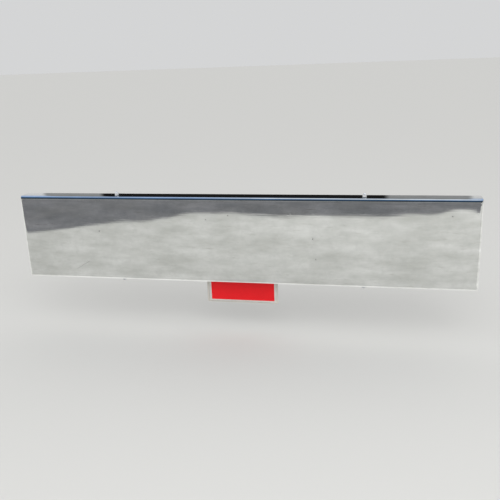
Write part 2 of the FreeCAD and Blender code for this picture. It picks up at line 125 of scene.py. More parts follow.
def add_block(name, corner, far_corner):
    """A cube primitive between two opposite corners."""
    pairs = list(zip(corner, far_corner))
    low, high = Vector(min(pair) for pair in pairs), Vector(max(pair) for pair in pairs)
    bpy.ops.mesh.primitive_cube_add(size=1, location=(low + high) / 2, scale=high - low)
    return settle(bpy.context.object, name)


def add_sheet(name, place, width, height, upright=False):
    """A plane primitive with its middle at place, lying flat or standing up across the truck."""
    turn = math.pi / 2 if upright else 0.0
    bpy.ops.mesh.primitive_plane_add(size=1, location=place, rotation=(turn, 0, 0))
    bpy.context.object.scale = (width, height, 1)
    return settle(bpy.context.object, name)


def edit(obj):
    only(obj)
    bpy.ops.object.mode_set(mode="EDIT")


def done():
    bpy.ops.object.mode_set(mode="OBJECT")


def pick_all():
    bpy.ops.mesh.select_all(action="SELECT")


def extrude(step):
    bpy.ops.mesh.extrude_region_move(TRANSFORM_OT_translate={"value": step})


def draw_line(name, start, steps):
    """A line of points, drawn step by step out of one point. It stays in edit mode, all selected."""
    bpy.ops.mesh.primitive_plane_add(size=0.001, location=start)
    obj = settle(bpy.context.object, name)
    edit(obj)
    bpy.ops.mesh.select_mode(type="VERT")
    pick_all()
    bpy.ops.mesh.merge(type="CENTER")
    for step in steps:
        extrude(step)
    pick_all()
    return obj


def pick(kind, test):
    """In edit mode, selects the points ("VERT"), edges or faces that pass the test."""
    bpy.ops.mesh.select_mode(type=kind)
    bpy.ops.mesh.select_all(action="DESELECT")
    mesh = bmesh.from_edit_mesh(bpy.context.edit_object.data)
    items = {"VERT": mesh.verts, "EDGE": mesh.edges, "FACE": mesh.faces}[kind]
    for item in items:
        if test(item):
            item.select_set(True)
    mesh.select_flush_mode()
    bmesh.update_edit_mesh(bpy.context.edit_object.data)


def modify(obj, kind, **settings):
    """Adds a modifier with these settings and applies it."""
    only(obj)
    modifier = obj.modifiers.new(kind.title(), kind)
    for key, value in settings.items():
        setattr(modifier, key, value)
    bpy.ops.object.modifier_apply(modifier=modifier.name)
    return obj


def combine(obj, tool, operation="DIFFERENCE"):
    """Cuts the tool's shape out of obj, or adds it with UNION. The tool is thrown away."""
    modify(obj, "BOOLEAN", object=tool, operation=operation, solver="EXACT")
    bpy.data.objects.remove(tool)


def smooth(obj, degrees):
    only(obj)
    bpy.ops.object.shade_smooth_by_angle(angle=math.radians(degrees))


def flatten_shading(obj, degrees=50):
    """Lets large flat faces set the shading of their edges, so that only the rounded edges look round."""
    smooth(obj, degrees)
    return modify(obj, "WEIGHTED_NORMAL", keep_sharp=True, weight=80)


def extent(mesh):
    """The lowest and the highest corner of a mesh."""
    rows = list(zip(*(vert.co for vert in mesh.vertices)))
    return Vector(map(min, rows)), Vector(map(max, rows))


print("helpers ready")

# %% [markdown]
# Every finish is a small chain of shader nodes. A recipe adds them one by one. A socket is given a number,
# a colour, or a pair of node and output name that it is linked to. Patterns read Object coordinates: all
# pieces sit at the origin, so these are metres on the truck, and a pattern runs on from piece to piece.

# %% Helper for mixing materials
class Recipe:
    """A material, or the world, that is mixed node by node."""

    def __init__(self, target):
        target.use_nodes = True
        self.target = target
        self.tree = target.node_tree
        self.tree.nodes.clear()

    def add(self, kind, sockets=None, **settings):
        node = self.tree.nodes.new("ShaderNode" + kind)
        for key, value in settings.items():
            setattr(node, key, value)
        for key, value in (sockets or {}).items():
            self.feed(node.inputs[key], value)
        return node

    def feed(self, socket, value):
        """Links a (node, output) pair to a socket, or sets the socket to a plain value."""
        if isinstance(value, tuple) and isinstance(value[1], str):
            node, name = value
            source = next(output for output in node.outputs if output.name == name and output.enabled)
            self.tree.links.new(source, socket)
        else:
            socket.default_value = value

    def here(self):
        """The place on the truck, in metres."""
        return self.add("TexCoord"), "Object"

    def axes(self, vector):
        """A node that gives the X, Y and Z of a vector apart."""
        return self.add("SeparateXYZ", {"Vector": vector})

    def stretch(self, vector, scale, turn=(0, 0, 0)):
        """Coordinates that run at another pace along each axis."""
        return self.add("Mapping", {"Vector": vector, "Rotation": turn, "Scale": scale}), "Vector"

    def vectors(self, operation, first, second, output="Value"):
        return self.add("VectorMath", {0: first, 1: second}, operation=operation), output

    def maths(self, operation, *values):
        """A Math node; its values are numbers or (node, output) pairs."""
        return self.add("Math", dict(enumerate(values)), operation=operation), "Value"

    def noise(self, vector, scale, detail=3.0, roughness=0.5):
        sockets = {"Vector": vector, "Scale": scale, "Detail": detail, "Roughness": roughness}
        return self.add("TexNoise", sockets), "Fac"

    def spread(self, value, low, high, to_low=0.0, to_high=1.0, kind="LINEAR"):
        """Maps a value from one range to another, and holds it there."""
        sockets = {"Value": value, "From Min": low, "From Max": high, "To Min": to_low, "To Max": to_high}
        return self.add("MapRange", sockets, interpolation_type=kind), "Result"

    def ease(self, value, low, high, to_low=0.0, to_high=1.0):
        """The same, with a soft start and a soft end."""
        return self.spread(value, low, high, to_low, to_high, "SMOOTHSTEP")

    def vary(self, pattern, to_low=0.0, to_high=1.0):
        """Spreads a noise pattern over a range. Such a pattern lies mostly between 0.3 and 0.7."""
        return self.spread(pattern, 0.3, 0.7, to_low, to_high)

    def between(self, factor, first, second):
        """A colour between two colours."""
        sockets = {0: factor, 6: first, 7: second}
        return self.add("Mix", sockets, data_type="RGBA"), "Result"

    def surface(self, colour, rough, metal=0.0, shine=0.5, relief=None):
        """Ends a material with its shader. A relief is a height pattern, its strength and its depth."""
        sockets = {"Base Color": colour, "Roughness": rough, "Metallic": metal}
        sockets["Specular IOR Level"] = shine
        if relief:
            height, strength, depth = relief
            bump = self.add("Bump", {"Height": height, "Strength": strength, "Distance": depth})
            sockets["Normal"] = (bump, "Normal")
        shader = self.add("BsdfPrincipled", sockets)
        self.add("OutputMaterial", {"Surface": (shader, "BSDF")})


def rgb(red, green, blue):
    return (red, green, blue, 1.0)


def new_recipe(name):
    return Recipe(bpy.data.materials.new(name))


def assign(obj, *recipes):
    """Puts finishes on an object, in the slots that it has or in new ones."""
    for number, recipe in enumerate(recipes):
        if number < len(obj.data.materials):
            obj.data.materials[number] = recipe.target
        else:
            obj.data.materials.append(recipe.target)


print("recipes ready")

# %% [markdown]
# The bumper stands over a plain pale floor. It hangs about 30 cm above the road on the truck, and here it
# does the same. The light is a soft even sky with one large lamp, at a level at which a colour comes out
# about as it is written. Camera and mirrors see the same sky: pale low down and light blue higher up.

# %% Floor
FLOOR_Z = SHELL_LOW.z - 0.305
FLOOR_SIZE = 120
FLOOR_COLOUR = rgb(0.64, 0.64, 0.625)

floor_paint = new_recipe("pale_floor")
floor_paint.surface(FLOOR_COLOUR, 0.9, shine=0.0)
floor = add_sheet("floor", (0, 0, FLOOR_Z), FLOOR_SIZE, FLOOR_SIZE)
assign(floor, floor_paint)
print("floor at", round(FLOOR_Z, 4))

# %% Sky and lamp
SKY_LIGHT = 0.98
PALE_SKY = rgb(0.66, 0.665, 0.67)
LIGHT_BLUE = rgb(0.42, 0.56, 0.86)
ZENITH = rgb(0.92, 0.96, 1.0)
BLUE_FROM, ZENITH_FROM = (0.12, 0.55), (0.955, 0.985)
ZENITH_LEAN = 0.12
LAMP_PLACE = (1.4, -4.4, 3.4)
LAMP_WIDE, LAMP_HIGH = 4.0, 3.0
LAMP_WATTS = 80

world = bpy.data.worlds.new("studio")
bpy.context.scene.world = world
sky = Recipe(world)
direction = sky.add("TexCoord")
parts = sky.axes((direction, "Generated"))
height = sky.ease((parts, "Z"), *BLUE_FROM)
leaning_back = sky.maths("MULTIPLY_ADD", (parts, "Y"), ZENITH_LEAN, (parts, "Z"))
overhead = sky.ease(leaning_back, *ZENITH_FROM)
seen = sky.between(overhead, sky.between(height, PALE_SKY, LIGHT_BLUE), ZENITH)
path = sky.add("LightPath")
through = sky.maths("ADD", (path, "Is Glossy Ray"), (path, "Is Transmission Ray"))
looked_at = sky.maths("ADD", (path, "Is Camera Ray"), through)
even = sky.add("Background", {"Color": rgb(1.0, 1.0, 1.0), "Strength": SKY_LIGHT})
shown = sky.add("Background", {"Color": seen, "Strength": 1.0})
mixed = sky.add("MixShader", {0: looked_at, 1: (even, "Background"), 2: (shown, "Background")})
sky.add("OutputWorld", {"Surface": (mixed, "Shader")})

bpy.ops.object.light_add(type="AREA", location=LAMP_PLACE)
lamp = bpy.context.object
lamp.name = "soft_lamp"
lamp.data.shape = "RECTANGLE"
lamp.data.size, lamp.data.size_y = LAMP_WIDE, LAMP_HIGH
lamp.data.energy = LAMP_WATTS
lamp.visible_glossy = False
aim = Vector((0, FACE_Y, SHELL_LOW.z)) - lamp.location
lamp.rotation_euler = aim.to_track_quat("-Z", "Y").to_euler()
print("sky level", SKY_LIGHT, "lamp", LAMP_WATTS, "W")

# %% [markdown]
# Flat chrome has no look of its own: it shows what stands round it. Photographers place cards for that.
# Here a dark card lies on the floor far out in front, so that the face grows dark towards its top along a
# wavy line. A second stands on the horizon: pale like a kerb at its foot, then dark, then deep blue. It
# draws the lines along the upper bend. A third stands close behind the upper flange, and a fourth, pale
# one lies below and beside the bumper and lights its other bends. All four show in reflections only.

# %% Reflector cards
FAR_SHADE = rgb(0.195, 0.20, 0.218)
FAR_LIGHTER = rgb(0.27, 0.27, 0.286)
CARD_REACH = 6.0
EDGE_NEAREST, EDGE_FURTHEST = 1.2, 3.6
EDGE_LINE = [
    (-2.60, 1.72), (-2.27, 1.89), (-1.95, 2.10), (-1.72, 2.20), (-1.49, 2.28),
    (-1.27, 2.40), (-1.05, 2.61), (-0.83, 2.63), (-0.55, 2.54), (0.15, 2.50),
    (0.70, 2.55), (0.95, 2.67), (1.15, 2.68), (1.38, 2.86), (1.60, 2.76),
]
EDGE_SOFTNESS, EDGE_DRIFT = (0.02, 0.15), 0.08
CARD_NEAR, CARD_FAR = 1.2, 7.0
CARD_ABOVE_FLOOR, CARD_GAP = 0.004, 0.001


def place_card(name, recipe, place, width, height, upright=False):
    """Sets up a card that shows in reflections only."""
    card = add_sheet(name, place, width, height, upright)
    assign(card, recipe)
    card.visible_camera = False
    card.visible_diffuse = False
    card.visible_shadow = False
    card.visible_transmission = False


def finish_card(recipe, colour, cover):
    """A card that glows with a colour where cover is 1 and isn't there where it is 0."""
    glow = recipe.add("Emission", {"Color": colour, "Strength": 1.0})
    clear = recipe.add("BsdfTransparent")
    both = recipe.add("MixShader", {0: cover, 1: (clear, "BSDF"), 2: (glow, "Emission")})
    recipe.add("OutputMaterial", {"Surface": (both, "Shader")})


ground = new_recipe("far_ground_card")
here = ground.here()
axes = ground.axes(here)
across = ground.spread((axes, "X"), -CARD_REACH, CARD_REACH)
edge = ground.add("FloatCurve", {"Value": across})
curve = edge.mapping.curves[0]
curve.points[0].location = (0.0, 0.0)
shares = [(away - EDGE_NEAREST) / (EDGE_FURTHEST - EDGE_NEAREST) for x, away in EDGE_LINE]
curve.points[1].location = (1.0, shares[-1])
for (x, away), share in zip(EDGE_LINE, shares):
    curve.points.new((x + CARD_REACH) / (2 * CARD_REACH), share)
edge.mapping.update()
edge_y = ground.spread((edge, "Value"), 0.0, 1.0, EDGE_NEAREST, EDGE_FURTHEST)
out_front = ground.maths("MULTIPLY_ADD", (axes, "Y"), -1.0, FACE_Y)
past_edge = ground.maths("SUBTRACT", out_front, edge_y)
drift = ground.vary(ground.noise(here, 1.3), -EDGE_DRIFT, EDGE_DRIFT)
drifted = ground.maths("ADD", past_edge, drift)
near_cover = ground.ease(drifted, *EDGE_SOFTNESS)
streaky = ground.spread(ground.noise(here, 2.6, 5.0, 0.6), 0.35, 0.65)
finish_card(ground, ground.between(streaky, FAR_SHADE, FAR_LIGHTER), near_cover)

card_place = (0, FACE_Y - (CARD_NEAR + CARD_FAR) / 2, FLOOR_Z + CARD_ABOVE_FLOOR)
place_card("far_ground_card", ground, card_place, 2 * CARD_REACH, CARD_FAR - CARD_NEAR)
print("ground card with", len(curve.points), "points along its edge")

# %% Standing cards
HORIZON_AWAY = 7.0
HORIZON_WIDTH, HORIZON_HEIGHT = 60.0, 34.0
PALE_KERB = rgb(0.62, 0.62, 0.60)
HORIZON_DARK = rgb(0.04, 0.055, 0.075)
HORIZON_BLUE = rgb(0.06, 0.14, 0.28)
KERB_TOP, KERB_WOBBLE = (FLOOR_Z + 0.5, FLOOR_Z + 0.72), 0.12
DARK_FROM, DEEP_BLUE_FROM = (0.3, 1.2), (5.0, 8.0)
TOP_SLANT, TOP_FADE = 0.6, (14.0, 24.0)
FLANGE_CARD_COLOUR = rgb(0.28, 0.285, 0.29)
FLANGE_CARD_DARK = rgb(0.012, 0.012, 0.012)
FLANGE_CARD_WIDTH, FLANGE_CARD_HEIGHT = 2.4, 0.28
FLANGE_CARD_BEHIND, FLANGE_CARD_SINK = 0.12, 0.01
FLANGE_DARK_SHIFT, FLANGE_DARK_END, FLANGE_CARD_END = 0.03, (0.76, 0.80), (1.14, 1.18)

horizon = new_recipe("horizon_card")
here = horizon.here()
axes = horizon.axes(here)
leave_ground = horizon.ease((axes, "Z"), *DARK_FROM)
low_down = horizon.between(leave_ground, FAR_SHADE, HORIZON_DARK)
wobble = horizon.vary(horizon.noise(here, 0.5), -KERB_WOBBLE, KERB_WOBBLE)
level = horizon.maths("ADD", (axes, "Z"), wobble)
kerb = horizon.ease(level, *KERB_TOP)
low_down = horizon.between(kerb, PALE_KERB, low_down)
rise = horizon.ease((axes, "Z"), *DEEP_BLUE_FROM)
colour = horizon.between(rise, low_down, HORIZON_BLUE)
slanted = horizon.maths("MULTIPLY_ADD", (axes, "X"), TOP_SLANT, (axes, "Z"))
top_fade = horizon.ease(slanted, *TOP_FADE, 1.0, 0.0)
finish_card(horizon, colour, top_fade)

horizon_place = (0, FACE_Y - HORIZON_AWAY, FLOOR_Z + HORIZON_HEIGHT / 2)
place_card("horizon_card", horizon, horizon_place, HORIZON_WIDTH, HORIZON_HEIGHT, upright=True)

flange = new_recipe("flange_card")
axes = flange.axes(flange.here())
off_middle = flange.maths("ABSOLUTE", (axes, "X"))
off_dark = flange.maths("ABSOLUTE", flange.maths("ADD", (axes, "X"), FLANGE_DARK_SHIFT))
darkness = flange.ease(off_dark, *FLANGE_DARK_END, 1.0, 0.0)
colour = flange.between(darkness, FLANGE_CARD_COLOUR, FLANGE_CARD_DARK)
ends = flange.ease(off_middle, *FLANGE_CARD_END, 1.0, 0.0)
finish_card(flange, colour, ends)

flange_z = SHELL_HIGH.z + FLANGE_CARD_HEIGHT / 2 - FLANGE_CARD_SINK
flange_place = (0, SHELL_HIGH.y + FLANGE_CARD_BEHIND, flange_z)
place_card("flange_card", flange, flange_place, FLANGE_CARD_WIDTH, FLANGE_CARD_HEIGHT, upright=True)
print("cards stand", HORIZON_AWAY, "m in front and", FLANGE_CARD_BEHIND, "m behind")

# %% Pale card below and beside the bumper
PALE_CARD = rgb(0.98, 0.98, 0.96)
PALE_FRONT, PALE_REAR = 0.80, 3.0
PALE_BELOW, PALE_BESIDE = 0.22, 1.65
BELOW_FADE, BESIDE_FADE, FRONT_FADE = 0.05, 0.25, 0.14

pale_edge = new_recipe("edge_card")
axes = pale_edge.axes(pale_edge.here())
start, below = FACE_Y - PALE_FRONT, FACE_Y - PALE_BELOW
under_it = pale_edge.ease((axes, "Y"), below - BELOW_FADE, below + BELOW_FADE)
from_middle = pale_edge.maths("ABSOLUTE", (axes, "X"))
out_there = pale_edge.ease(from_middle, PALE_BESIDE, PALE_BESIDE + BESIDE_FADE)
not_too_near = pale_edge.spread((axes, "Y"), start, start + FRONT_FADE)
beside_it = pale_edge.maths("MULTIPLY", out_there, not_too_near)
finish_card(pale_edge, PALE_CARD, pale_edge.maths("MAXIMUM", under_it, beside_it))

edge_place = (0, FACE_Y + (PALE_REAR - PALE_FRONT) / 2, FLOOR_Z + CARD_ABOVE_FLOOR - CARD_GAP)
place_card("edge_card", pale_edge, edge_place, 2 * CARD_REACH, PALE_REAR + PALE_FRONT)
print("pale card lies just under the dark one, over the floor at", round(FLOOR_Z, 3))

# %% [markdown]
# ## The chromed shell
#
# On the real bumper this is one sheet, 4 mm thick, pressed into a long shallow tray: a flat face, with the
# upper and lower flanges and the two ends folded back by the same soft bend. It could be built from folded
# strips, but a block whose edges are bevelled gives the same bends with clean rows of faces. So a cube is
# opened at the rear, its front edges get a 16 mm bevel and the four corner edges a smaller one.

# %% Shell: a block opened at the rear, with its bends
SHEET = 0.004
BEND_RADIUS = 0.016
CORNER_RADIUS = 0.007
BEND_STEPS = 12

shell = add_block("chrome_shell", SHELL_LOW, SHELL_HIGH)
edit(shell)
pick("FACE", lambda face: face.normal.y > 0.9)
bpy.ops.mesh.delete(type="ONLY_FACE")
pick("EDGE", lambda edge: all(vert.co.y < FACE_Y + SHEET for vert in edge.verts))
bpy.ops.transform.edge_bevelweight(value=1.0)
pick("EDGE", lambda edge: edge.verts[0].co.y != edge.verts[1].co.y)
bpy.ops.transform.edge_bevelweight(value=CORNER_RADIUS / BEND_RADIUS)
done()
modify(shell, "BEVEL", limit_method="WEIGHT", width=BEND_RADIUS, segments=BEND_STEPS)
print("shell has", len(shell.data.polygons), "faces after its bends")

# %% [markdown]
# A mirror shows the least unevenness of its sheet, so the face needs enough points to be faintly wavy.
# Straight cuts lay a grid over it, and each point of the face moves inward by a small smooth amount that
# fades out towards the bends. Nothing moves outward, because the sheet keeps its size.

# %% Shell: a grid of cuts and the waves of the sheet
GRID_STEP = 0.024
WAVE_DEPTH = 0.0004
WAVE_FADE = 0.12


def cut_rows(normal, start, end, step):
    """Cuts all faces along evenly spaced planes between two places on one axis."""
    count = round((end - start) / step)
    normal = Vector(normal)
    for number in range(count + 1):
        at = start + (end - start) * number / count
        pick_all()
        bpy.ops.mesh.bisect(plane_co=normal * at, plane_no=normal)


edit(shell)
cut_rows(RIGHT, SHELL_LOW.x + 2 * BEND_RADIUS, SHELL_HIGH.x - 2 * BEND_RADIUS, GRID_STEP)
cut_rows(UP, SHELL_LOW.z + 2 * BEND_RADIUS, SHELL_HIGH.z - 2 * BEND_RADIUS, GRID_STEP)
done()


def waviness(x, z):
    """How far the pressed sheet lies behind its flat plane, as a share of the deepest."""
    long_wave = noise.noise(Vector((x * 1.6, 0.0, z * 2.4)))
    short_wave = noise.noise(Vector((x * 5.0, 7.0, z * 6.5)))
    return 0.5 + 0.38 * long_wave + 0.12 * short_wave


for vert in shell.data.vertices:
    x, y, z = vert.co
    if y > FACE_Y + 1e-5:
        continue
    to_side = min(x - SHELL_LOW.x, SHELL_HIGH.x - x) - BEND_RADIUS
    to_end = min(z - SHELL_LOW.z, SHELL_HIGH.z - z) - BEND_RADIUS
    share = min(max(min(to_side, to_end) / WAVE_FADE, 0.0), 1.0)
    vert.co.y = y + WAVE_DEPTH * waviness(x, z) * share * share * (3 - 2 * share)
print("face grid of", len(shell.data.vertices), "points")

# %% [markdown]
# Solidify gives the sheet its 4 mm, all of it inward, and marks the inside as a second finish: the plating
# is thin and dull where the bath hardly reached. Six holes take the bolts of the stiffeners and the plate
# hanger. A narrow bevel then breaks the cut edges, because no real sheet edge is quite sharp.

# %% Shell: thickness, bolt holes and broken edges
M16_HOLE, M12_HOLE, M6_HOLE, M5_HOLE = 0.00875, 0.00675, 0.00375, 0.00325
CUT_EDGE = 0.0004
DRILL_LENGTH, DRILL_STEPS = 0.06, 32

for _ in ("outside", "inside"):
    shell.data.materials.append(None)
modify(shell, "SOLIDIFY", thickness=SHEET, offset=-1, use_even_offset=True, material_offset=1)

bolts = []
for node in ("left_top_bolt", "right_top_bolt", "left_bottom_bolt", "right_bottom_bolt"):
    low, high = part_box(node)
    bolts.append(((low + high) / 2, M12_HOLE))
low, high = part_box("hanger_bolts")
HANGER_BOLT_INSET = (high.y - low.y) / math.sqrt(3)
for x in (low.x + HANGER_BOLT_INSET, high.x - HANGER_BOLT_INSET):
    bolts.append((Vector((x, (low.y + high.y) / 2, low.z)), M6_HOLE))

drills = []
for place, radius in bolts:
    bpy.ops.mesh.primitive_cylinder_add(
        radius=radius, depth=DRILL_LENGTH, vertices=DRILL_STEPS, location=place
    )
    drills.append(settle(bpy.context.object, "drill"))
combine(shell, join(*drills))
modify(shell, "BEVEL", limit_method="ANGLE", angle_limit=math.radians(50), width=CUT_EDGE, segments=2)
smooth(shell, 30)
print("shell finished with", len(shell.data.polygons), "faces")

# %% [markdown]
# Bright chrome is a metal that returns nearly all light. What makes it look real is what lies on it. Cloudy
# patches, a fine mottling and short dash marks make its colour a little duller: partly dried water and
# wiping, partly painted reflection of a rough grey ground. A faint haze and the streaks of polishing change
# its roughness. Last come a few specks, drawn by their distance from a point, and one scratch. A pattern
# stretched sideways looks wiped, not painted.

# %% Finish: bright chrome
SPECKS = [
    (-0.75, -0.187, 0.005), (-0.157, -0.116, 0.004), (-0.038, -0.093, 0.004), (1.058, -0.083, 0.004),
    (0.393, -0.208, 0.005), (0.407, -0.315, 0.004), (0.282, -0.081, 0.004),
]
SCRATCH_START, SCRATCH_END = (-0.907, -0.405), (-0.823, -0.356)

chrome = new_recipe("bright_chrome")
here = chrome.here()
axes = chrome.axes(here)
stains_and_ground_reflection = chrome.noise(chrome.stretch(here, (4.0, 4.0, 13.0)), 1.0, 7.0, 0.62)
dashes_and_ground_reflection = chrome.noise(chrome.stretch(here, (11.0, 11.0, 90.0)), 1.0, 4.0, 0.7)
haze = chrome.noise(here, 3.2, 5.0, 0.6)
mottle_and_ground_reflection = chrome.noise(here, 26.0, 4.0, 0.65)
streak = chrome.noise(chrome.stretch(here, (1.6, 4.0, 34.0)), 3.0, 4.0, 0.6)
flat = (chrome.add("CombineXYZ", {"X": (axes, "X"), "Z": (axes, "Z")}), "Vector")
marks = None
for x, down, radius in SPECKS:
    away = chrome.vectors("DISTANCE", flat, (x, 0.0, SHELL_HIGH.z + down))
    spot = chrome.ease(away, radius * 0.4, radius, 1.0, 0.0)
    marks = spot if marks is None else chrome.maths("MAXIMUM", marks, spot)

run = Vector((SCRATCH_END[0] - SCRATCH_START[0], 0, SCRATCH_END[1] - SCRATCH_START[1]))
start = Vector((SCRATCH_START[0], 0, SHELL_HIGH.z + SCRATCH_START[1]))
from_start = chrome.vectors("SUBTRACT", flat, start, "Vector")
along = chrome.vectors("DOT_PRODUCT", from_start, run.normalized())
off = chrome.vectors("DOT_PRODUCT", from_start, Vector((-run.z, 0, run.x)).normalized())
narrow = chrome.spread(chrome.maths("ABSOLUTE", off), 0.0004, 0.0014, 1.0, 0.0)
begun = chrome.spread(along, 0.0, 0.01)
ended = chrome.spread(along, run.length - 0.01, run.length, 1.0, 0.0)
scratch = chrome.maths("MULTIPLY", narrow, chrome.maths("MULTIPLY", begun, ended))
marks = chrome.maths("MAXIMUM", marks, scratch)
on_face = chrome.spread((axes, "Y"), FACE_Y + 0.004, FACE_Y + 0.006, 1.0, 0.0)
marks = chrome.maths("MULTIPLY", marks, on_face)

# The patches, mottling and dash marks darken the colour: partly water marks and wiping, partly painted
# reflection of the grey ground.
stain_and_reflection_share = chrome.spread(stains_and_ground_reflection, 0.34, 0.66)
clean = chrome.between(stain_and_reflection_share, rgb(0.60, 0.61, 0.585), rgb(0.815, 0.825, 0.81))
tint = chrome.between(chrome.spread(mottle_and_ground_reflection, 0.45, 0.75, 0.0, 0.3), clean, rgb(0.52, 0.53, 0.52))
tint = chrome.between(chrome.spread(dashes_and_ground_reflection, 0.60, 0.72, 0.0, 0.75), tint, rgb(0.55, 0.55, 0.52))
colour = chrome.between(chrome.maths("MULTIPLY", marks, 0.5), tint, rgb(0.25, 0.25, 0.25))
streaks = chrome.spread(streak, 0.4, 0.7, 0.0, 0.016)
rough = chrome.maths("ADD", chrome.vary(haze, 0.018, 0.034), streaks)
rough = chrome.maths("MAXIMUM", rough, chrome.maths("MULTIPLY", marks, 0.45))
chrome.surface(colour, rough, 1.0, relief=(streak, 0.07, 0.0004))
print("chrome has", len(chrome.tree.nodes), "nodes")

# %% [markdown]
# Behind the face the plating is thin. Bath salts and road dirt have dried there in soft cloudy patches, so
# the inside is a dull grey metal whose roughness and colour both change from place to place.

# %% Finish: thin plating inside the shell
inside = new_recipe("inside_plating")
here = inside.here()
clouds = inside.noise(here, 5.0, 6.0, 0.6)
grain = inside.noise(here, 160.0, 2.0)
clouded = inside.spread(clouds, 0.35, 0.7)
colour = inside.between(clouded, rgb(0.43, 0.43, 0.42), rgb(0.27, 0.26, 0.24))
inside.surface(colour, inside.spread(clouds, 0.35, 0.7, 0.34, 0.6), 0.85, relief=(grain, 0.2, 0.0005))


def finish_piece(obj, slot, nodes, *recipes):
    """Gives a piece its finish, its body and the CAD nodes that it stands for. The slot is not used."""
    assign(obj, *recipes)
    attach(obj, "root")
    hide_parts(*nodes)
    print(obj.name, "stands for", ", ".join(nodes), "with", len(obj.data.polygons), "faces")


finish_piece(shell, "bright_chrome", ["bumper_shell"], chrome, inside)

# %% [markdown]
# ## Fasteners
#
# Bolts, nuts, washers and studs are round work: a lathe turns them from bar. The same is done here. One
# point is extruded along half of the outline, and that line is spun about the axis. Each kind is made once
# per thread size and copied. All of them stand on z = 0 until they are set in place.

# %% Helpers for turned pieces
M16, M12, M6, M5 = 0.016, 0.012, 0.006, 0.005
ROUND_STEPS = 48
CHAMFER_SLOPE = math.tan(math.radians(30))


def turned(name, profile, angle=math.tau, steps=ROUND_STEPS):
    """Spins a line of (radius, height) points about Z."""
    moves = [(after[0] - point[0], 0, after[1] - point[1]) for point, after in zip(profile, profile[1:])]
    obj = draw_line(name, (profile[0][0], 0, profile[0][1]), moves)
    bpy.ops.mesh.spin(steps=steps, angle=angle, center=(0, 0, 0), axis=UP)
    pick_all()
    bpy.ops.mesh.remove_doubles(threshold=1e-6)
    bpy.ops.mesh.normals_make_consistent(inside=False)
    done()
    return obj


def flats(diameter):
    """The width of a spanner for this thread."""
    return 1.5 * diameter + 0.001


def mill_hexagon(obj, diameter, low, high, chamfered_top=True):
    """Moves the widest points of a turned blank in to six flats, up the slope of the chamfer."""
    corner = flats(diameter) / math.sqrt(3)
    for vert in obj.data.vertices:
        x, y, z = vert.co
        radius = math.hypot(x, y)
        if radius < corner - 1e-5:
            continue
        turn = math.atan2(y, x) % (math.pi / 3) - math.pi / 6
        reach = flats(diameter) / 2 / math.cos(turn)
        climb = (corner - reach) * CHAMFER_SLOPE
        if z < (low + high) / 2:
            z -= climb
        elif chamfered_top:
            z += climb
        vert.co = (x * reach / radius, y * reach / radius, z)


def cut_thread(obj, diameter, pitch, low, high):
    """Presses a helical groove into the points of a shank between two heights."""
    for vert in obj.data.vertices:
        x, y, z = vert.co
        radius = math.hypot(x, y)
        if abs(radius - diameter / 2) > 1e-5 or not low < z < high:
            continue
        phase = (z / pitch - math.atan2(y, x) / math.tau) % 1.0
        fade = min((z - low) / pitch, 1.0)
        share = 1 - 0.55 * pitch * fade * abs(2 * phase - 1) / radius
        vert.co = (x * share, y * share, z)


def thread_rows(radius, low, high, pitch):
    """Profile points, four to a turn of thread."""
    count = round((high - low) / (pitch / 4))
    return [(radius, low + (high - low) * number / count) for number in range(count + 1)]


print("one flat on M12 measures", round(flats(M12) * 1000, 1), "mm")

# %% Bolts, studs, nuts and washers
PITCHES = {M16: 0.002, M12: 0.00175, M6: 0.001, M5: 0.0008}
HEX_HEAD, ROUND_HEAD, NUT_HEIGHT = 0.65, 0.55, 0.8
THREAD_LENGTH = 0.026


def chamfer_start(diameter):
    """The radii of a hexagon's round land and of its corners, and how far the chamfer falls between."""
    land, corner = 0.475 * flats(diameter), flats(diameter) / math.sqrt(3)
    return land, corner, (corner - land) * CHAMFER_SLOPE


def make_shank(name, head, diameter, start, reach, broken=0.8):
    """Turns a piece that ends in a thread: its head's outline, then the shank up to the broken tip."""
    pitch = PITCHES[diameter]
    tip = reach - broken * pitch
    profile = head + [(diameter / 2, 0)] + thread_rows(diameter / 2, start, tip, pitch)
    profile += [(diameter / 2 - 0.6 * pitch, reach), (0, reach)]
    piece = turned(name, profile)
    cut_thread(piece, diameter, pitch, start, tip)
    return piece


def make_bolt(name, diameter, reach):
    """A hexagon head below z = 0 with a washer face, and a shank that ends in a cut thread."""
    high = HEX_HEAD * diameter
    land, corner, fall = chamfer_start(diameter)
    face = 0.0004
    head = [(0, -high), (land * 0.96, -high), (land, -high), (corner, fall - high), (corner, -face)]
    head += [(land, -face), (land, 0)]
    bolt = make_shank(name, head, diameter, max(0.0015, reach - THREAD_LENGTH), reach)
    mill_hexagon(bolt, diameter, -high, 0, chamfered_top=False)
    return bolt


def make_stud(name, diameter, reach):
    """A plain length of threaded bar with a broken tip."""
    return make_shank(name, [(0, 0)], diameter, 0.001, reach, broken=0.7)


def make_nut(name, diameter):
    height = NUT_HEIGHT * diameter
    land, corner, fall = chamfer_start(diameter)
    bore = diameter / 2 + 0.0001
    sink = 0.06 * diameter
    profile = [(bore, sink), (bore + sink, 0), (land, 0), (corner, fall), (corner, height - fall)]
    profile += [(land, height), (bore + sink, height), (bore, height - sink), (bore, sink)]
    nut = turned(name, profile)
    mill_hexagon(nut, diameter, 0, height)
    return nut


def make_washer(name, diameter):
    """A stamped ring, its edges rounded by the punch."""
    thick = 0.2 * diameter
    inner, outer = diameter / 2 + 0.0005, diameter
    soft = 0.2 * thick
    profile = [(inner, soft), (inner + soft, 0), (outer - soft, 0), (outer, soft), (outer, thick - soft)]
    profile += [(outer - soft, thick), (inner + soft, thick), (inner, thick - soft), (inner, soft)]
    return turned(name, profile)


washer_12 = make_washer("m12_washer", M12)
nut_12 = make_nut("m12_nut", M12)
print("washer", len(washer_12.data.polygons), "faces, nut", len(nut_12.data.polygons), "faces")

# %% [markdown]
# The two bright nuts on the upper flange are cap nuts: a hexagon with a domed cap, which hides the bolt's
# end. The dome is a quarter circle in the profile. A blind bore is turned from below, so the bolt's tip
# really goes into it.

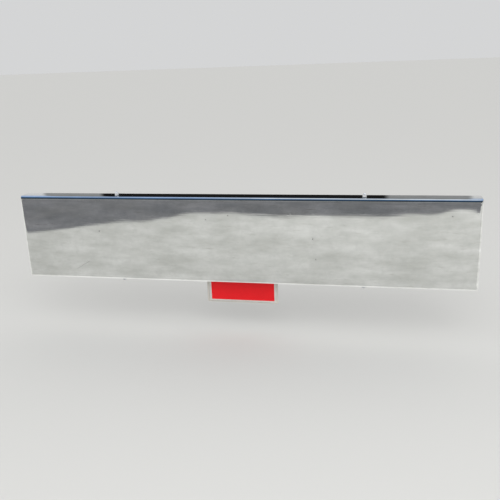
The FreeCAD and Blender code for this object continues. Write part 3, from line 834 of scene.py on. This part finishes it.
# %% Cap nut
def make_cap_nut(name, diameter):
    dome = 0.71 * diameter
    dome_middle = 1.6 * diameter - dome
    height = NUT_HEIGHT * diameter
    bore, bore_end = diameter / 2 + 0.0001, 1.15 * diameter
    land, corner, fall = chamfer_start(diameter)
    profile = [(0, bore_end), (bore, bore_end), (bore, 0.0007), (bore + 0.0007, 0), (land, 0)]
    profile += [(corner, fall), (corner, height - fall), (land, height), (dome + 0.0006, height)]
    profile += [(dome + 0.0001, height + 0.0006), (dome, dome_middle)]
    for step in range(1, 11):
        angle = math.pi / 2 * step / 10
        profile.append((dome * math.cos(angle), dome_middle + dome * math.sin(angle)))
    profile[-1] = (0, dome_middle + dome)
    nut = turned(name, profile)
    mill_hexagon(nut, diameter, 0, height)
    return nut


cap_12 = make_cap_nut("m12_cap_nut", M12)
print("cap nut", round(cap_12.dimensions.z * 1000, 1), "mm high")

# %% [markdown]
# The plate's screws have low round heads with a cross recess. The head is turned as a flat dome, and two
# crossed blocks are cut from it, as the punch does.

# %% Round-head screw
def make_round_screw(name, diameter, reach):
    radius, high = 0.95 * diameter, ROUND_HEAD * diameter
    head = [(0, -high)]
    for step in range(1, 9):
        angle = math.pi / 2 * step / 8
        head.append((radius * math.sin(angle), -high * (0.18 + 0.82 * math.cos(angle))))
    head.append((radius, 0))
    screw = make_shank(name, head, diameter, 0.006, reach)
    for wide, narrow in ((0.26, 0.07), (0.07, 0.26)):
        start = (-wide * diameter * 2, -narrow * diameter * 2, -high * 1.5)
        end = (wide * diameter * 2, narrow * diameter * 2, -high * 0.45)
        combine(screw, add_block("punch", start, end))
    return screw


print("screw maker ready")

# %% [markdown]
# ## Setting fasteners in place
#
# Each fastener stands in its CAD node's place. The pattern is turned to its direction and pushed into the
# low corner of the node's box. Where a node holds two or four of them, the box is wider than the pattern,
# and a copy goes to the far side as well. So no position is written twice.

# %% Helper for placing
def fit_into(name, node, pattern, toward):
    """Copies a pattern into the places that a CAD node's box leaves for it, as one piece."""
    low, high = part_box(node)
    turn = Vector(UP).rotation_difference(Vector(toward)).to_matrix().to_4x4()
    if toward == DOWN:
        turn = Matrix.Rotation(math.pi, 4, "X")
    model = pattern.data.copy()
    model.transform(turn)
    model_low, model_high = extent(model)
    spare = (high - low) - (model_high - model_low)
    choices = [(0.0, gap) if gap > 0.005 else (0.0,) for gap in spare]
    copies = []
    for shift in itertools.product(*choices):
        mesh = model.copy()
        mesh.transform(Matrix.Translation(low - model_low + Vector(shift)))
        one = bpy.data.objects.new(name, mesh)
        bpy.context.collection.objects.link(one)
        copies.append(one)
    piece = flatten_shading(join(*copies), 40)
    piece.data.name = name
    off = max((spare - Vector(choice[-1] for choice in choices)), key=abs)
    print(name, "x", len(copies), "differs from its box by", round(off * 1000, 3), "mm")
    return piece

# %% [markdown]
# ## Plates, channels and bars
#
# The brackets are cut and folded from sheet and bar. A folded piece starts as a line of points that is
# pushed out to the sheet's width, so it is one thin ribbon. Its fold lines get a bevel of the bend's
# radius, then Solidify gives it thickness to the side where the metal lies.

# %% Helpers for sheet metal
FOLD_STEPS = 8
BIT_LENGTH, BIT_STEPS = 0.04, 40


def folded(name, path, across, thickness, inner_radius, metal):
    """A sheet folded along a path of points; metal is 1 or -1, the side of the path that it lies on."""
    path = [Vector(point) for point in path]
    across = Vector(across)
    steps = [after - point for point, after in zip(path, path[1:])]
    obj = draw_line(name, path[0] - across / 2, steps)
    extrude(across)
    pick_all()
    bpy.ops.mesh.normals_make_consistent(inside=False)

    setbacks = []
    for before, point, after in zip(path, path[1:], path[2:]):
        come, leave = (point - before).normalized(), (after - point).normalized()
        inward = come.cross(leave).dot(across) * metal > 0
        radius = inner_radius + (thickness if inward else 0.0)
        setbacks.append((point, radius * math.tan(come.angle(leave) / 2)))
    widest = max(setback for point, setback in setbacks)
    for point, setback in setbacks:
        ends = (point - across / 2, point + across / 2)
        pick("EDGE", lambda edge: all(min((v.co - end).length for end in ends) < 1e-5 for v in edge.verts))
        bpy.ops.transform.edge_bevelweight(value=setback / widest)
    done()
    modify(obj, "BEVEL", limit_method="WEIGHT", width=widest, segments=FOLD_STEPS)

    run = (path[1] - path[0]).normalized()
    lies_toward = across.normalized().cross(run) * metal
    nearest = min(obj.data.polygons, key=lambda face: (face.center - (path[0] + path[1]) / 2).length)
    offset = 1 if nearest.normal.dot(lies_toward) > 0 else -1
    modify(obj, "SOLIDIFY", thickness=thickness, offset=offset, use_even_offset=True)
    return obj


def drill(obj, radius, along, *places):
    """Drills holes of one radius through a piece."""
    turn = Vector(UP).rotation_difference(Vector(along)).to_euler()
    for place in places:
        bpy.ops.mesh.primitive_cylinder_add(
            radius=radius, depth=BIT_LENGTH, vertices=BIT_STEPS, location=place, rotation=turn
        )
        combine(obj, settle(bpy.context.object, "drill"))


def break_edges(obj, width=0.0006, steps=2):
    """Rounds all edges sharper than 40 degrees a little, and shades the piece."""
    modify(obj, "BEVEL", limit_method="ANGLE", angle_limit=math.radians(40), width=width, segments=steps)
    return flatten_shading(obj)


def report(obj, node):
    """Prints how far a finished piece differs from its CAD node's box."""
    low, high = extent(obj.data)
    cad_low, cad_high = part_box(node)
    off = max(*(low - cad_low), *(high - cad_high), key=abs)
    print(obj.name, len(obj.data.polygons), "faces, differs from its box by", round(off * 1000, 2), "mm")


def mirrored(obj, name):
    """The same piece for the truck's other side."""
    mesh = obj.data.copy()
    mesh.transform(Matrix.Scale(-1, 4, Vector(RIGHT)))
    mesh.flip_normals()
    twin = bpy.data.objects.new(name, mesh)
    bpy.context.collection.objects.link(twin)
    return flatten_shading(twin)


print("sheet helpers ready")

# %% [markdown]
# A stiffener is a folded channel that stands on end between the two flanges, with its back to the rear. A
# second strip lies against its back and ends in two tabs, one under each flange. Both are folded first and
# then made one by a union, as the press makes them from one blank.

# %% Stiffeners
low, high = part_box("right_stiffener")
STIFFENER_X = (low.x + high.x) / 2
TAB_FRONT_Y = -0.207
STIFFENER_REAR_Y = high.y
STIFFENER_SHEET, STIFFENER_BEND = 0.004, 0.004
TAB_WIDTH = 0.056
FLANGE_BOLT_Y = -0.193
BRACE_Z = -0.0175
RELIEF = 0.014

channel_path = [(low.x, low.y), (low.x, high.y), (high.x, high.y), (high.x, low.y)]
channel_path = [(x, y, (low.z + high.z) / 2) for x, y in channel_path]
channel_high = (0, 0, high.z - low.z - 2 * RELIEF)
channel = folded("channel", channel_path, channel_high, STIFFENER_SHEET, STIFFENER_BEND, -1)
strip_path = [(TAB_FRONT_Y, low.z), (high.y, low.z), (high.y, high.z), (TAB_FRONT_Y, high.z)]
strip_path = [(STIFFENER_X, y, z) for y, z in strip_path]
strip = folded("tab_strip", strip_path, (TAB_WIDTH, 0, 0), STIFFENER_SHEET, STIFFENER_BEND, 1)
combine(channel, strip, "UNION")
for z in (low.z, high.z):
    drill(channel, M12_HOLE, UP, (STIFFENER_X, FLANGE_BOLT_Y, z))
drill(channel, M12_HOLE, BACK, (STIFFENER_X, STIFFENER_REAR_Y, BRACE_Z))
edit(channel)
pick_all()
bpy.ops.mesh.dissolve_limited(angle_limit=math.radians(0.5))
done()
right_stiffener = break_edges(channel, 0.0005)
right_stiffener.name = "stiffener_right"
report(right_stiffener, "right_stiffener")

# %% [markdown]
# A brace ties each stiffener back to its bracket. It is a flat bar with one sharp bend at the bracket and a
# slight one at the stiffener, so that both ends lie flush. The same ribbon way makes it, only thicker.

# %% Braces
low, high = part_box("right_brace")
BRACE_THICK, BRACE_BEND = 0.008, 0.008
STRAIGHT_END = 0.034
WEB_MIDDLE_Y = -0.1075
brace_path = [
    (low.x, high.y, BRACE_Z),
    (low.x, WEB_MIDDLE_Y - STRAIGHT_END, BRACE_Z),
    (STIFFENER_X - STRAIGHT_END, STIFFENER_REAR_Y, BRACE_Z),
    (high.x, STIFFENER_REAR_Y, BRACE_Z),
]
right_brace = folded("brace_right", brace_path, (0, 0, high.z - low.z), BRACE_THICK, BRACE_BEND, 1)
drill(right_brace, M12_HOLE, RIGHT, (low.x + BRACE_THICK / 2, WEB_MIDDLE_Y, BRACE_Z))
drill(right_brace, M12_HOLE, BACK, (STIFFENER_X, STIFFENER_REAR_Y + BRACE_THICK / 2, BRACE_Z))
break_edges(right_brace, 0.0009)
report(right_brace, "right_brace")

# %% [markdown]
# The hanger is a folded angle. Its short leg lies on the lower flange and its long leg hangs behind it and
# carries the plate. The two lower corners are rounded by hand, with a bevel on just those two edges.

# %% Plate hanger
low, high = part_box("plate_hanger")
HANGER_SHEET, HANGER_BEND = 0.003, 0.002
HANGER_CORNER = 0.010
fold_y, fold_z = high.y - HANGER_SHEET, high.z - HANGER_SHEET
hanger_path = [(0, low.y, fold_z), (0, fold_y, fold_z), (0, fold_y, low.z)]
hanger = folded("plate_hanger_angle", hanger_path, (high.x - low.x, 0, 0), HANGER_SHEET, HANGER_BEND, 1)
edit(hanger)
pick("EDGE", lambda edge: all(vert.co.z < low.z + 1e-5 for vert in edge.verts)
     and abs(edge.verts[0].co.y - edge.verts[1].co.y) > 0.002)
bpy.ops.mesh.bevel(offset=HANGER_CORNER, segments=6)
done()
hanger_low, hanger_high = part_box("hanger_bolts")
HANGER_BOLT_Y = (hanger_low.y + hanger_high.y) / 2
HANGER_BOLT_X = hanger_high.x - (hanger_high.y - hanger_low.y) / math.sqrt(3)
screw_low, screw_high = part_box("plate_screws")
SCREW_Z = (screw_low.z + screw_high.z) / 2
SCREW_X = screw_high.x - (screw_high.z - screw_low.z) / 2
for side in (-1, 1):
    drill(hanger, M6_HOLE, UP, (side * HANGER_BOLT_X, HANGER_BOLT_Y, high.z))
    drill(hanger, M5_HOLE, BACK, (side * SCREW_X, high.y, SCREW_Z))
break_edges(hanger, 0.0004)
report(hanger, "plate_hanger")

# %% [markdown]
# A backing plate lies flat against the inside of the face, held by short stitch welds, and four studs stand
# on it. Its four corners are rounded with a large bevel before the sharp edges are broken. A weld bead
# could be a plain round bar, but a real one shows the small scales that a welder's hand leaves. So a
# rippled profile is spun through a quarter turn, and the bead lies in the corner between two plates.

# %% Helpers for pads and weld beads
def rounded_pad(name, low, high, corner, steps=6):
    """A plate that stands upright across the truck, with four round corners."""
    pad = add_block(name, low, high)
    edit(pad)
    pick("EDGE", lambda edge: abs(edge.verts[0].co.y - edge.verts[1].co.y) > (high[1] - low[1]) * 0.5)
    bpy.ops.mesh.bevel(offset=corner, segments=steps)
    done()
    return pad


BEAD = 0.005
BEAD_PITCH = 0.0035
BEAD_FADE = 0.004


def bead_between(name, corner_x, corner_y, low_z, high_z, side_x, side_y):
    """A rippled weld bead up the corner between a web and a pad."""
    profile = [(0, low_z)]
    for _, z in thread_rows(BEAD, low_z, high_z, BEAD_PITCH):
        swell = abs(math.sin(math.pi * z / BEAD_PITCH)) * 0.0006
        fade = min(1.0, (z - low_z) / BEAD_FADE, (high_z - z) / BEAD_FADE)
        profile.append((BEAD * (0.55 + 0.33 * fade) + swell * fade, z))
    profile.append((0, high_z))
    bead = turned(name, profile, angle=math.pi / 2, steps=6)
    for vert in bead.data.vertices:
        x, y, z = vert.co
        bend = 0.0012 * math.sin(2 * math.atan2(abs(y), abs(x) + 1e-9))
        if low_z + 1e-5 < z < high_z - 1e-5:
            z = max(low_z, z - bend)
        vert.co = (corner_x + side_x * abs(x), corner_y + side_y * abs(y), z)
    return bead


print("pad and bead helpers ready")

# %% Backing plates with their stitch welds
STITCH, STITCH_STEP = 0.036, 0.075
BACKING_CORNER = 0.012
low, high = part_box("right_backing_plate")
right_backing = rounded_pad("backing_plate_right", low, high, BACKING_CORNER)
break_edges(right_backing, 0.0008)
backing_z = (low.z + high.z) / 2
stitches = []
for side, edge_x in ((-1, low.x), (1, high.x)):
    for z in (backing_z - STITCH_STEP, backing_z, backing_z + STITCH_STEP):
        stitches.append(bead_between("stitch", edge_x, low.y, z - STITCH / 2, z + STITCH / 2, side, 1))
right_backing = join(right_backing, *stitches)
flatten_shading(right_backing)
report(right_backing, "right_backing_plate")

# %% [markdown]
# A frame bracket is welded up from plate: a front pad on the studs, a smaller rear pad for the frame rail,
# two tapered webs with a lightening hole above and below, four gussets, and a weld along each joint. Each
# plate is its own block here too, and the webs get the same beads along both pads.

# %% Frame brackets
PAD_THICK = 0.010
PAD_CORNER = 0.010
WEB_THICK = 0.008
WEB_INSET = 0.008
WEB_OUTER = 0.033
GUSSET_THICK = 0.006
GUSSET_REACH = 0.046
LIGHTENING_HOLE, HOLES_UP_DOWN = 0.022, 0.06
REAR_PAD_HALF = 0.105
STUD_X, STUD_Z = 0.055, 0.090
RAIL_BOLT_X, RAIL_BOLT_Z = 0.055, 0.070
low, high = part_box("right_frame_bracket")
BRACKET_X = (low.x + high.x) / 2
FRONT_PAD_HALF = 0.130
FRONT_MIDDLE_Z = low.z + FRONT_PAD_HALF
FRONT_Y, REAR_Y = low.y + PAD_THICK, high.y - PAD_THICK
print("bracket stands", round((REAR_Y - FRONT_Y) * 1000), "mm between its pads")

front_top = (high.x, FRONT_Y, FRONT_MIDDLE_Z + FRONT_PAD_HALF)
rear_foot, rear_top = (low.x, REAR_Y, -REAR_PAD_HALF), (high.x, high.y, REAR_PAD_HALF)
pads = ((low, front_top), (rear_foot, rear_top))
plates = [rounded_pad("pad", foot, top, PAD_CORNER) for foot, top in pads]
for side_x in (-1, 1):
    for side_z in (-1, 1):
        stud = (BRACKET_X + side_x * STUD_X, low.y, FRONT_MIDDLE_Z + side_z * STUD_Z)
        drill(plates[0], M16_HOLE, BACK, stud)
        rail_bolt = (BRACKET_X + side_x * RAIL_BOLT_X, high.y, side_z * RAIL_BOLT_Z)
        drill(plates[1], M16_HOLE, BACK, rail_bolt)

beads = []
PAD_SIDES = [(FRONT_Y, FRONT_MIDDLE_Z, FRONT_PAD_HALF, 1), (REAR_Y, 0.0, REAR_PAD_HALF, -1)]
for side in (-1, 1):
    face = BRACKET_X + side * WEB_OUTER
    web = add_block("web", (face, FRONT_Y, -1), (face - side * WEB_THICK, REAR_Y, 1))
    for vert in web.data.vertices:
        at_front = vert.co.y < (FRONT_Y + REAR_Y) / 2
        half = (FRONT_PAD_HALF if at_front else REAR_PAD_HALF) - WEB_INSET
        vert.co.z = (FRONT_MIDDLE_Z if at_front else 0.0) + (half if vert.co.z > 0 else -half)
    web_middle_x = face - side * WEB_THICK / 2
    for up in (-HOLES_UP_DOWN, HOLES_UP_DOWN):
        drill(web, LIGHTENING_HOLE, RIGHT, (web_middle_x, WEB_MIDDLE_Y, BRACE_Z + up))
    drill(web, M12_HOLE, RIGHT, (web_middle_x, WEB_MIDDLE_Y, BRACE_Z))
    plates.append(web)
    for y, middle_z, half, into in PAD_SIDES:
        tip_x, tip_y = face + side * GUSSET_REACH, y + into * GUSSET_REACH
        below, above = middle_z - GUSSET_THICK / 2, middle_z + GUSSET_THICK / 2
        gusset = add_block("gusset", (face, y, below), (tip_x, tip_y, above))
        edit(gusset)
        pick("VERT", lambda vert: abs(vert.co.x - face) > 0.01 and abs(vert.co.y - y) > 0.01)
        bpy.ops.transform.resize(value=(0, 0, 1), center_override=(tip_x, y, middle_z))
        pick_all()
        bpy.ops.mesh.remove_doubles(threshold=1e-6)
        done()
        plates.append(gusset)
        weld = half - WEB_INSET - BEAD
        for bottom, top in ((-weld, -GUSSET_THICK / 2), (GUSSET_THICK / 2, weld)):
            beads.append(bead_between("bead", face, y, middle_z + bottom, middle_z + top, side, into))
right_bracket = join(*plates)
break_edges(right_bracket, 0.0008)
right_bracket = join(right_bracket, *beads)
right_bracket.name = "frame_bracket_right"
flatten_shading(right_bracket)
report(right_bracket, "right_frame_bracket")

# %% [markdown]
# ## The number plate and its carrier
#
# The carrier is a shallow tray with a soft rim. A block with round corners gets its front face drawn in to
# the pocket's outline, and that face is pushed back to the tray's thin floor.

# %% Plate carrier
low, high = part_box("plate_carrier")
RIM_X, RIM_Z = 0.0085, 0.0035
CARRIER_FLOOR, CARRIER_CORNER = 0.002, 0.0075
carrier = rounded_pad("carrier_tray", low, high, CARRIER_CORNER, 8)
edit(carrier)
pick("FACE", lambda face: face.normal.y < -0.9)
extrude((0, 0, 0))
size = high - low
narrower = ((size.x - 2 * RIM_X) / size.x, 1, (size.z - 2 * RIM_Z) / size.z)
bpy.ops.transform.resize(value=narrower, center_override=(low + high) / 2)
extrude((0, size.y - CARRIER_FLOOR, 0))
done()
drill(carrier, M5_HOLE, BACK, (-SCREW_X, high.y, SCREW_Z), (SCREW_X, high.y, SCREW_Z))
break_edges(carrier, 0.0009, 3)
report(carrier, "plate_carrier")

# %% [markdown]
# The plate is thin sheet metal with a rim pressed up along its edge. Two insets draw the rim's lines on the
# front face, and the band between them moves forward half a millimetre. The coloured sheeting on its middle
# is a thin film with tight corners.

# %% Number plate and sheeting
low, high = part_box("number_plate")
RIM_RISE = 0.0005
PLATE_CORNER, FILM_CORNER = 0.004, 0.0015
RIM_INSETS = (0.0006, 0.0005, 0.0005)
plate = rounded_pad("number_plate_sheet", low, high, PLATE_CORNER)
edit(plate)
pick("FACE", lambda face: face.normal.y < -0.9)
for width in RIM_INSETS:
    bpy.ops.mesh.inset(thickness=width)
done()
edit(plate)
rim = RIM_INSETS[0] + RIM_INSETS[1]
plate_z = (high.z + low.z) / 2


def past_rim(point):
    """How far a point lies outside the second line of the rim; less than zero is inside."""
    return max(abs(point.x) - (high.x - rim), abs(point.z - plate_z) - ((high.z - low.z) / 2 - rim))


pick("VERT", lambda vert: abs(vert.co.y - low.y) < 1e-6 and -0.0003 < past_rim(vert.co) < 1e-5)
bpy.ops.transform.translate(value=(0, -RIM_RISE, 0))
done()
drill(plate, M5_HOLE, BACK, (-SCREW_X, high.y, SCREW_Z), (SCREW_X, high.y, SCREW_Z))
flatten_shading(plate)
report(plate, "number_plate")

low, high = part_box("plate_film")
film = rounded_pad("plate_sheeting", low, high, FILM_CORNER, 5)
break_edges(film, 0.0001)
report(film, "plate_film")

# %% [markdown]
# ## Finishes of the hidden steel and the plate
#
# Chassis paint is a satin black that was sprayed thick: faint orange peel, a film of road dust on what
# looks up, and small chips. The noise patterns have the size of the real marks, millimetres for the peel
# and centimetres for the dust.

# %% Finish: black chassis paint
paint = new_recipe("chassis_paint")
here = paint.here()
peel = paint.noise(here, 420.0, 2.0, 0.5)
dust = paint.noise(here, 14.0, 6.0, 0.65)
chips = paint.noise(here, 95.0, 3.0, 0.7)
surface = paint.add("NewGeometry")
facing = paint.axes((surface, "Normal"))
upward = paint.spread((facing, "Z"), -0.2, 0.9, 0.25, 1.0)
dusty = paint.maths("MULTIPLY", paint.spread(dust, 0.42, 0.72, 0.0, 0.6), upward)
chipped = paint.spread(chips, 0.70, 0.73)
black = paint.between(dusty, rgb(0.022, 0.022, 0.024), rgb(0.17, 0.155, 0.13))
colour = paint.between(chipped, black, rgb(0.16, 0.11, 0.08))
paint.surface(colour, paint.spread(dusty, 0.0, 0.6, 0.34, 0.75), relief=(peel, 0.25, 0.0003))
print("chassis paint ready")

# %% [markdown]
# The two cap nuts get a pale, half-metallic chrome that is rougher than the sheet, so they look paler and
# softer. Its whitish colour is a painted highlight: it stands in for the bright glint of light on their
# domes.

# %% Finish: cap nut chrome with a painted highlight
cap_highlight = new_recipe("cap_chrome_with_painted_highlight")
here = cap_highlight.here()
highlight_cloud = cap_highlight.noise(here, 60.0, 3.0, 0.5)
# A pale whitish colour: painted highlight on the cap nuts.
colour = cap_highlight.between(cap_highlight.vary(highlight_cloud), rgb(0.90, 0.90, 0.89), rgb(0.85, 0.85, 0.835))
cap_highlight.surface(colour, cap_highlight.vary(highlight_cloud, 0.22, 0.34), cap_highlight.vary(highlight_cloud, 0.55, 0.4))
print("milky chrome ready")

# %% [markdown]
# Zinc plating on fasteners is a bright, slightly cloudy metal with a cool tint. Steel that was only rolled
# has a darker blue-grey scale, with thin brown rust where it broke.

# %% Finish: zinc plating and rolled steel
zinc = new_recipe("zinc_plating")
here = zinc.here()
cloud = zinc.noise(here, 60.0, 5.0, 0.6)
grain = zinc.noise(here, 700.0, 2.0)
colour = zinc.between(zinc.vary(cloud), rgb(0.60, 0.62, 0.64), rgb(0.42, 0.43, 0.43))
zinc.surface(colour, zinc.vary(cloud, 0.24, 0.45), 1.0, relief=(grain, 0.15, 0.0002))

steel = new_recipe("rolled_steel")
here = steel.here()
scale_marks = steel.noise(here, 34.0, 6.0, 0.6)
rust = steel.noise(here, 11.0, 8.0, 0.7)
bare = steel.between(steel.vary(scale_marks), rgb(0.10, 0.11, 0.13), rgb(0.22, 0.23, 0.24))
rusty = steel.spread(rust, 0.56, 0.68, 0.0, 0.85)
colour = steel.between(rusty, bare, rgb(0.17, 0.075, 0.03))
rough, metal = steel.spread(rusty, 0.0, 0.85, 0.42, 0.9), steel.spread(rusty, 0.0, 0.85, 0.9, 0.0)
steel.surface(colour, rough, metal, relief=(scale_marks, 0.3, 0.0005))
print("zinc and steel ready")

# %% [markdown]
# The carrier is painted a pale warm grey that has yellowed a little unevenly. The plate's own enamel is
# whiter and smoother. Reflective sheeting shows a fine net of sealed cells under a clear skin: here a
# square lattice of 3 mm cells, turned 45 degrees, raises its lines and dulls its colour slightly.

# %% Finish: carrier paint, enamel and sheeting
pale = new_recipe("carrier_paint")
here = pale.here()
age = pale.noise(here, 9.0, 5.0, 0.6)
grain = pale.noise(here, 520.0, 2.0)
colour = pale.between(pale.vary(age), rgb(0.62, 0.60, 0.56), rgb(0.53, 0.505, 0.455))
pale.surface(colour, pale.vary(age, 0.38, 0.55), relief=(grain, 0.12, 0.0002))

enamel = new_recipe("plate_enamel")
here = enamel.here()
film_of_dust = enamel.noise(here, 22.0, 5.0, 0.6)
dust_share = enamel.spread(film_of_dust, 0.35, 0.7)
colour = enamel.between(dust_share, rgb(0.66, 0.65, 0.62), rgb(0.56, 0.545, 0.51))
enamel.surface(
    colour, enamel.spread(film_of_dust, 0.35, 0.7, 0.25, 0.5), relief=(film_of_dust, 0.05, 0.0003)
)

sheeting = new_recipe("red_sheeting")
here = sheeting.here()
CELL = 0.003
net = sheeting.axes(sheeting.stretch(here, (math.pi / CELL,) * 3, (0, math.radians(45), 0)))
walls = [sheeting.maths("ABSOLUTE", sheeting.maths("SINE", (net, axis))) for axis in "XZ"]
wall = sheeting.ease(sheeting.maths("MINIMUM", *walls), 0.0, 0.28, 1.0, 0.0)
fade = sheeting.noise(here, 7.0, 4.0, 0.6)
plain = sheeting.between(sheeting.vary(fade), rgb(0.86, 0.013, 0.019), rgb(0.78, 0.011, 0.016))
colour = sheeting.between(sheeting.maths("MULTIPLY", wall, 0.4), plain, rgb(0.42, 0.01, 0.012))
sheeting.surface(colour, sheeting.vary(fade, 0.34, 0.46), shine=0.15, relief=(wall, 0.3, 0.0002))
print("plate finishes ready")

# %% [markdown]
# ## Putting everything in place
#
# Each finished piece now stands for its CAD node. The left-hand pieces are the right-hand ones, mirrored.

# %% Plates, brackets and braces
finish_piece(hanger, "bracket_paint", ["plate_hanger"], paint)
finish_piece(carrier, "carrier_finish", ["plate_carrier"], pale)
finish_piece(plate, "plate_enamel", ["number_plate"], enamel)
finish_piece(film, "plate_sheeting", ["plate_film"], sheeting)

PAIRED = [
    (right_backing, "backing_plate", "bare_steel", steel),
    (right_bracket, "frame_bracket", "bracket_paint", paint),
    (right_stiffener, "stiffener", "bracket_paint", paint),
    (right_brace, "brace", "bracket_paint", paint),
]
for piece, node, slot, finish in PAIRED:
    twin = mirrored(piece, node + "_left")
    finish_piece(piece, slot, ["right_" + node], finish)
    finish_piece(twin, slot, ["left_" + node], finish)

# %% Fasteners
def pattern_for(node, axis, diameter, maker=make_bolt, head=HEX_HEAD):
    """A bolt, screw or stud whose shank fills what its head leaves of its node's box."""
    low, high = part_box(node)
    return maker(node + "_pattern", diameter, (high - low)[axis] - head * diameter)


fasteners = [
    ("hanger_bolts", pattern_for("hanger_bolts", Z, M6), UP),
    ("hanger_washers", make_washer("m6_washer", M6), DOWN),
    ("hanger_nuts", make_nut("m6_nut", M6), UP),
    ("plate_screws", pattern_for("plate_screws", Y, M5, make_round_screw, ROUND_HEAD), BACK),
    ("plate_nuts", make_nut("m5_nut", M5), BACK),
]
stud_16 = pattern_for("right_weld_studs", Y, M16, make_stud, 0.0)
nut_16 = make_nut("m16_nut", M16)
washer_16 = make_washer("m16_washer", M16)
top_bolt = pattern_for("right_top_bolt", Z, M12)
bottom_bolt = pattern_for("right_bottom_bolt", Z, M12)
inner_bolt = pattern_for("right_brace_inner_bolt", X, M12)
outer_bolt = pattern_for("right_brace_outer_bolt", Y, M12)
for side, inward in (("right", LEFT), ("left", RIGHT)):
    sets = [
        ("weld_studs", stud_16, BACK),
        ("stud_washers", washer_16, BACK),
        ("stud_nuts", nut_16, BACK),
        ("top_bolt", top_bolt, UP),
        ("top_washer", washer_12, UP),
        ("cap_nut", cap_12, UP),
        ("bottom_washer", washer_12, DOWN),
        ("bottom_bolt", bottom_bolt, UP),
        ("bottom_nut", nut_12, UP),
        ("brace_inner_bolt", inner_bolt, inward),
        ("brace_inner_nut", nut_12, inward),
        ("brace_inner_washer", washer_12, inward),
        ("brace_outer_bolt", outer_bolt, FRONT),
        ("brace_outer_nut", nut_12, FRONT),
        ("brace_outer_washer", washer_12, FRONT),
    ]
    fasteners += [(side + "_" + node, pattern, toward) for node, pattern, toward in sets]

for node, pattern, toward in fasteners:
    piece = fit_into(node + "_piece", node, pattern, toward)
    if node.endswith("cap_nut"):
        finish_piece(piece, "bright_chrome", [node], cap_highlight)
    elif node.endswith("weld_studs"):
        finish_piece(piece, "bare_steel", [node], steel)
    else:
        finish_piece(piece, "zinc_plating", [node], zinc)
for pattern in dict.fromkeys(pattern for node, pattern, toward in fasteners):
    bpy.data.objects.remove(pattern)
print(len(fasteners), "fastener pieces stand in place")
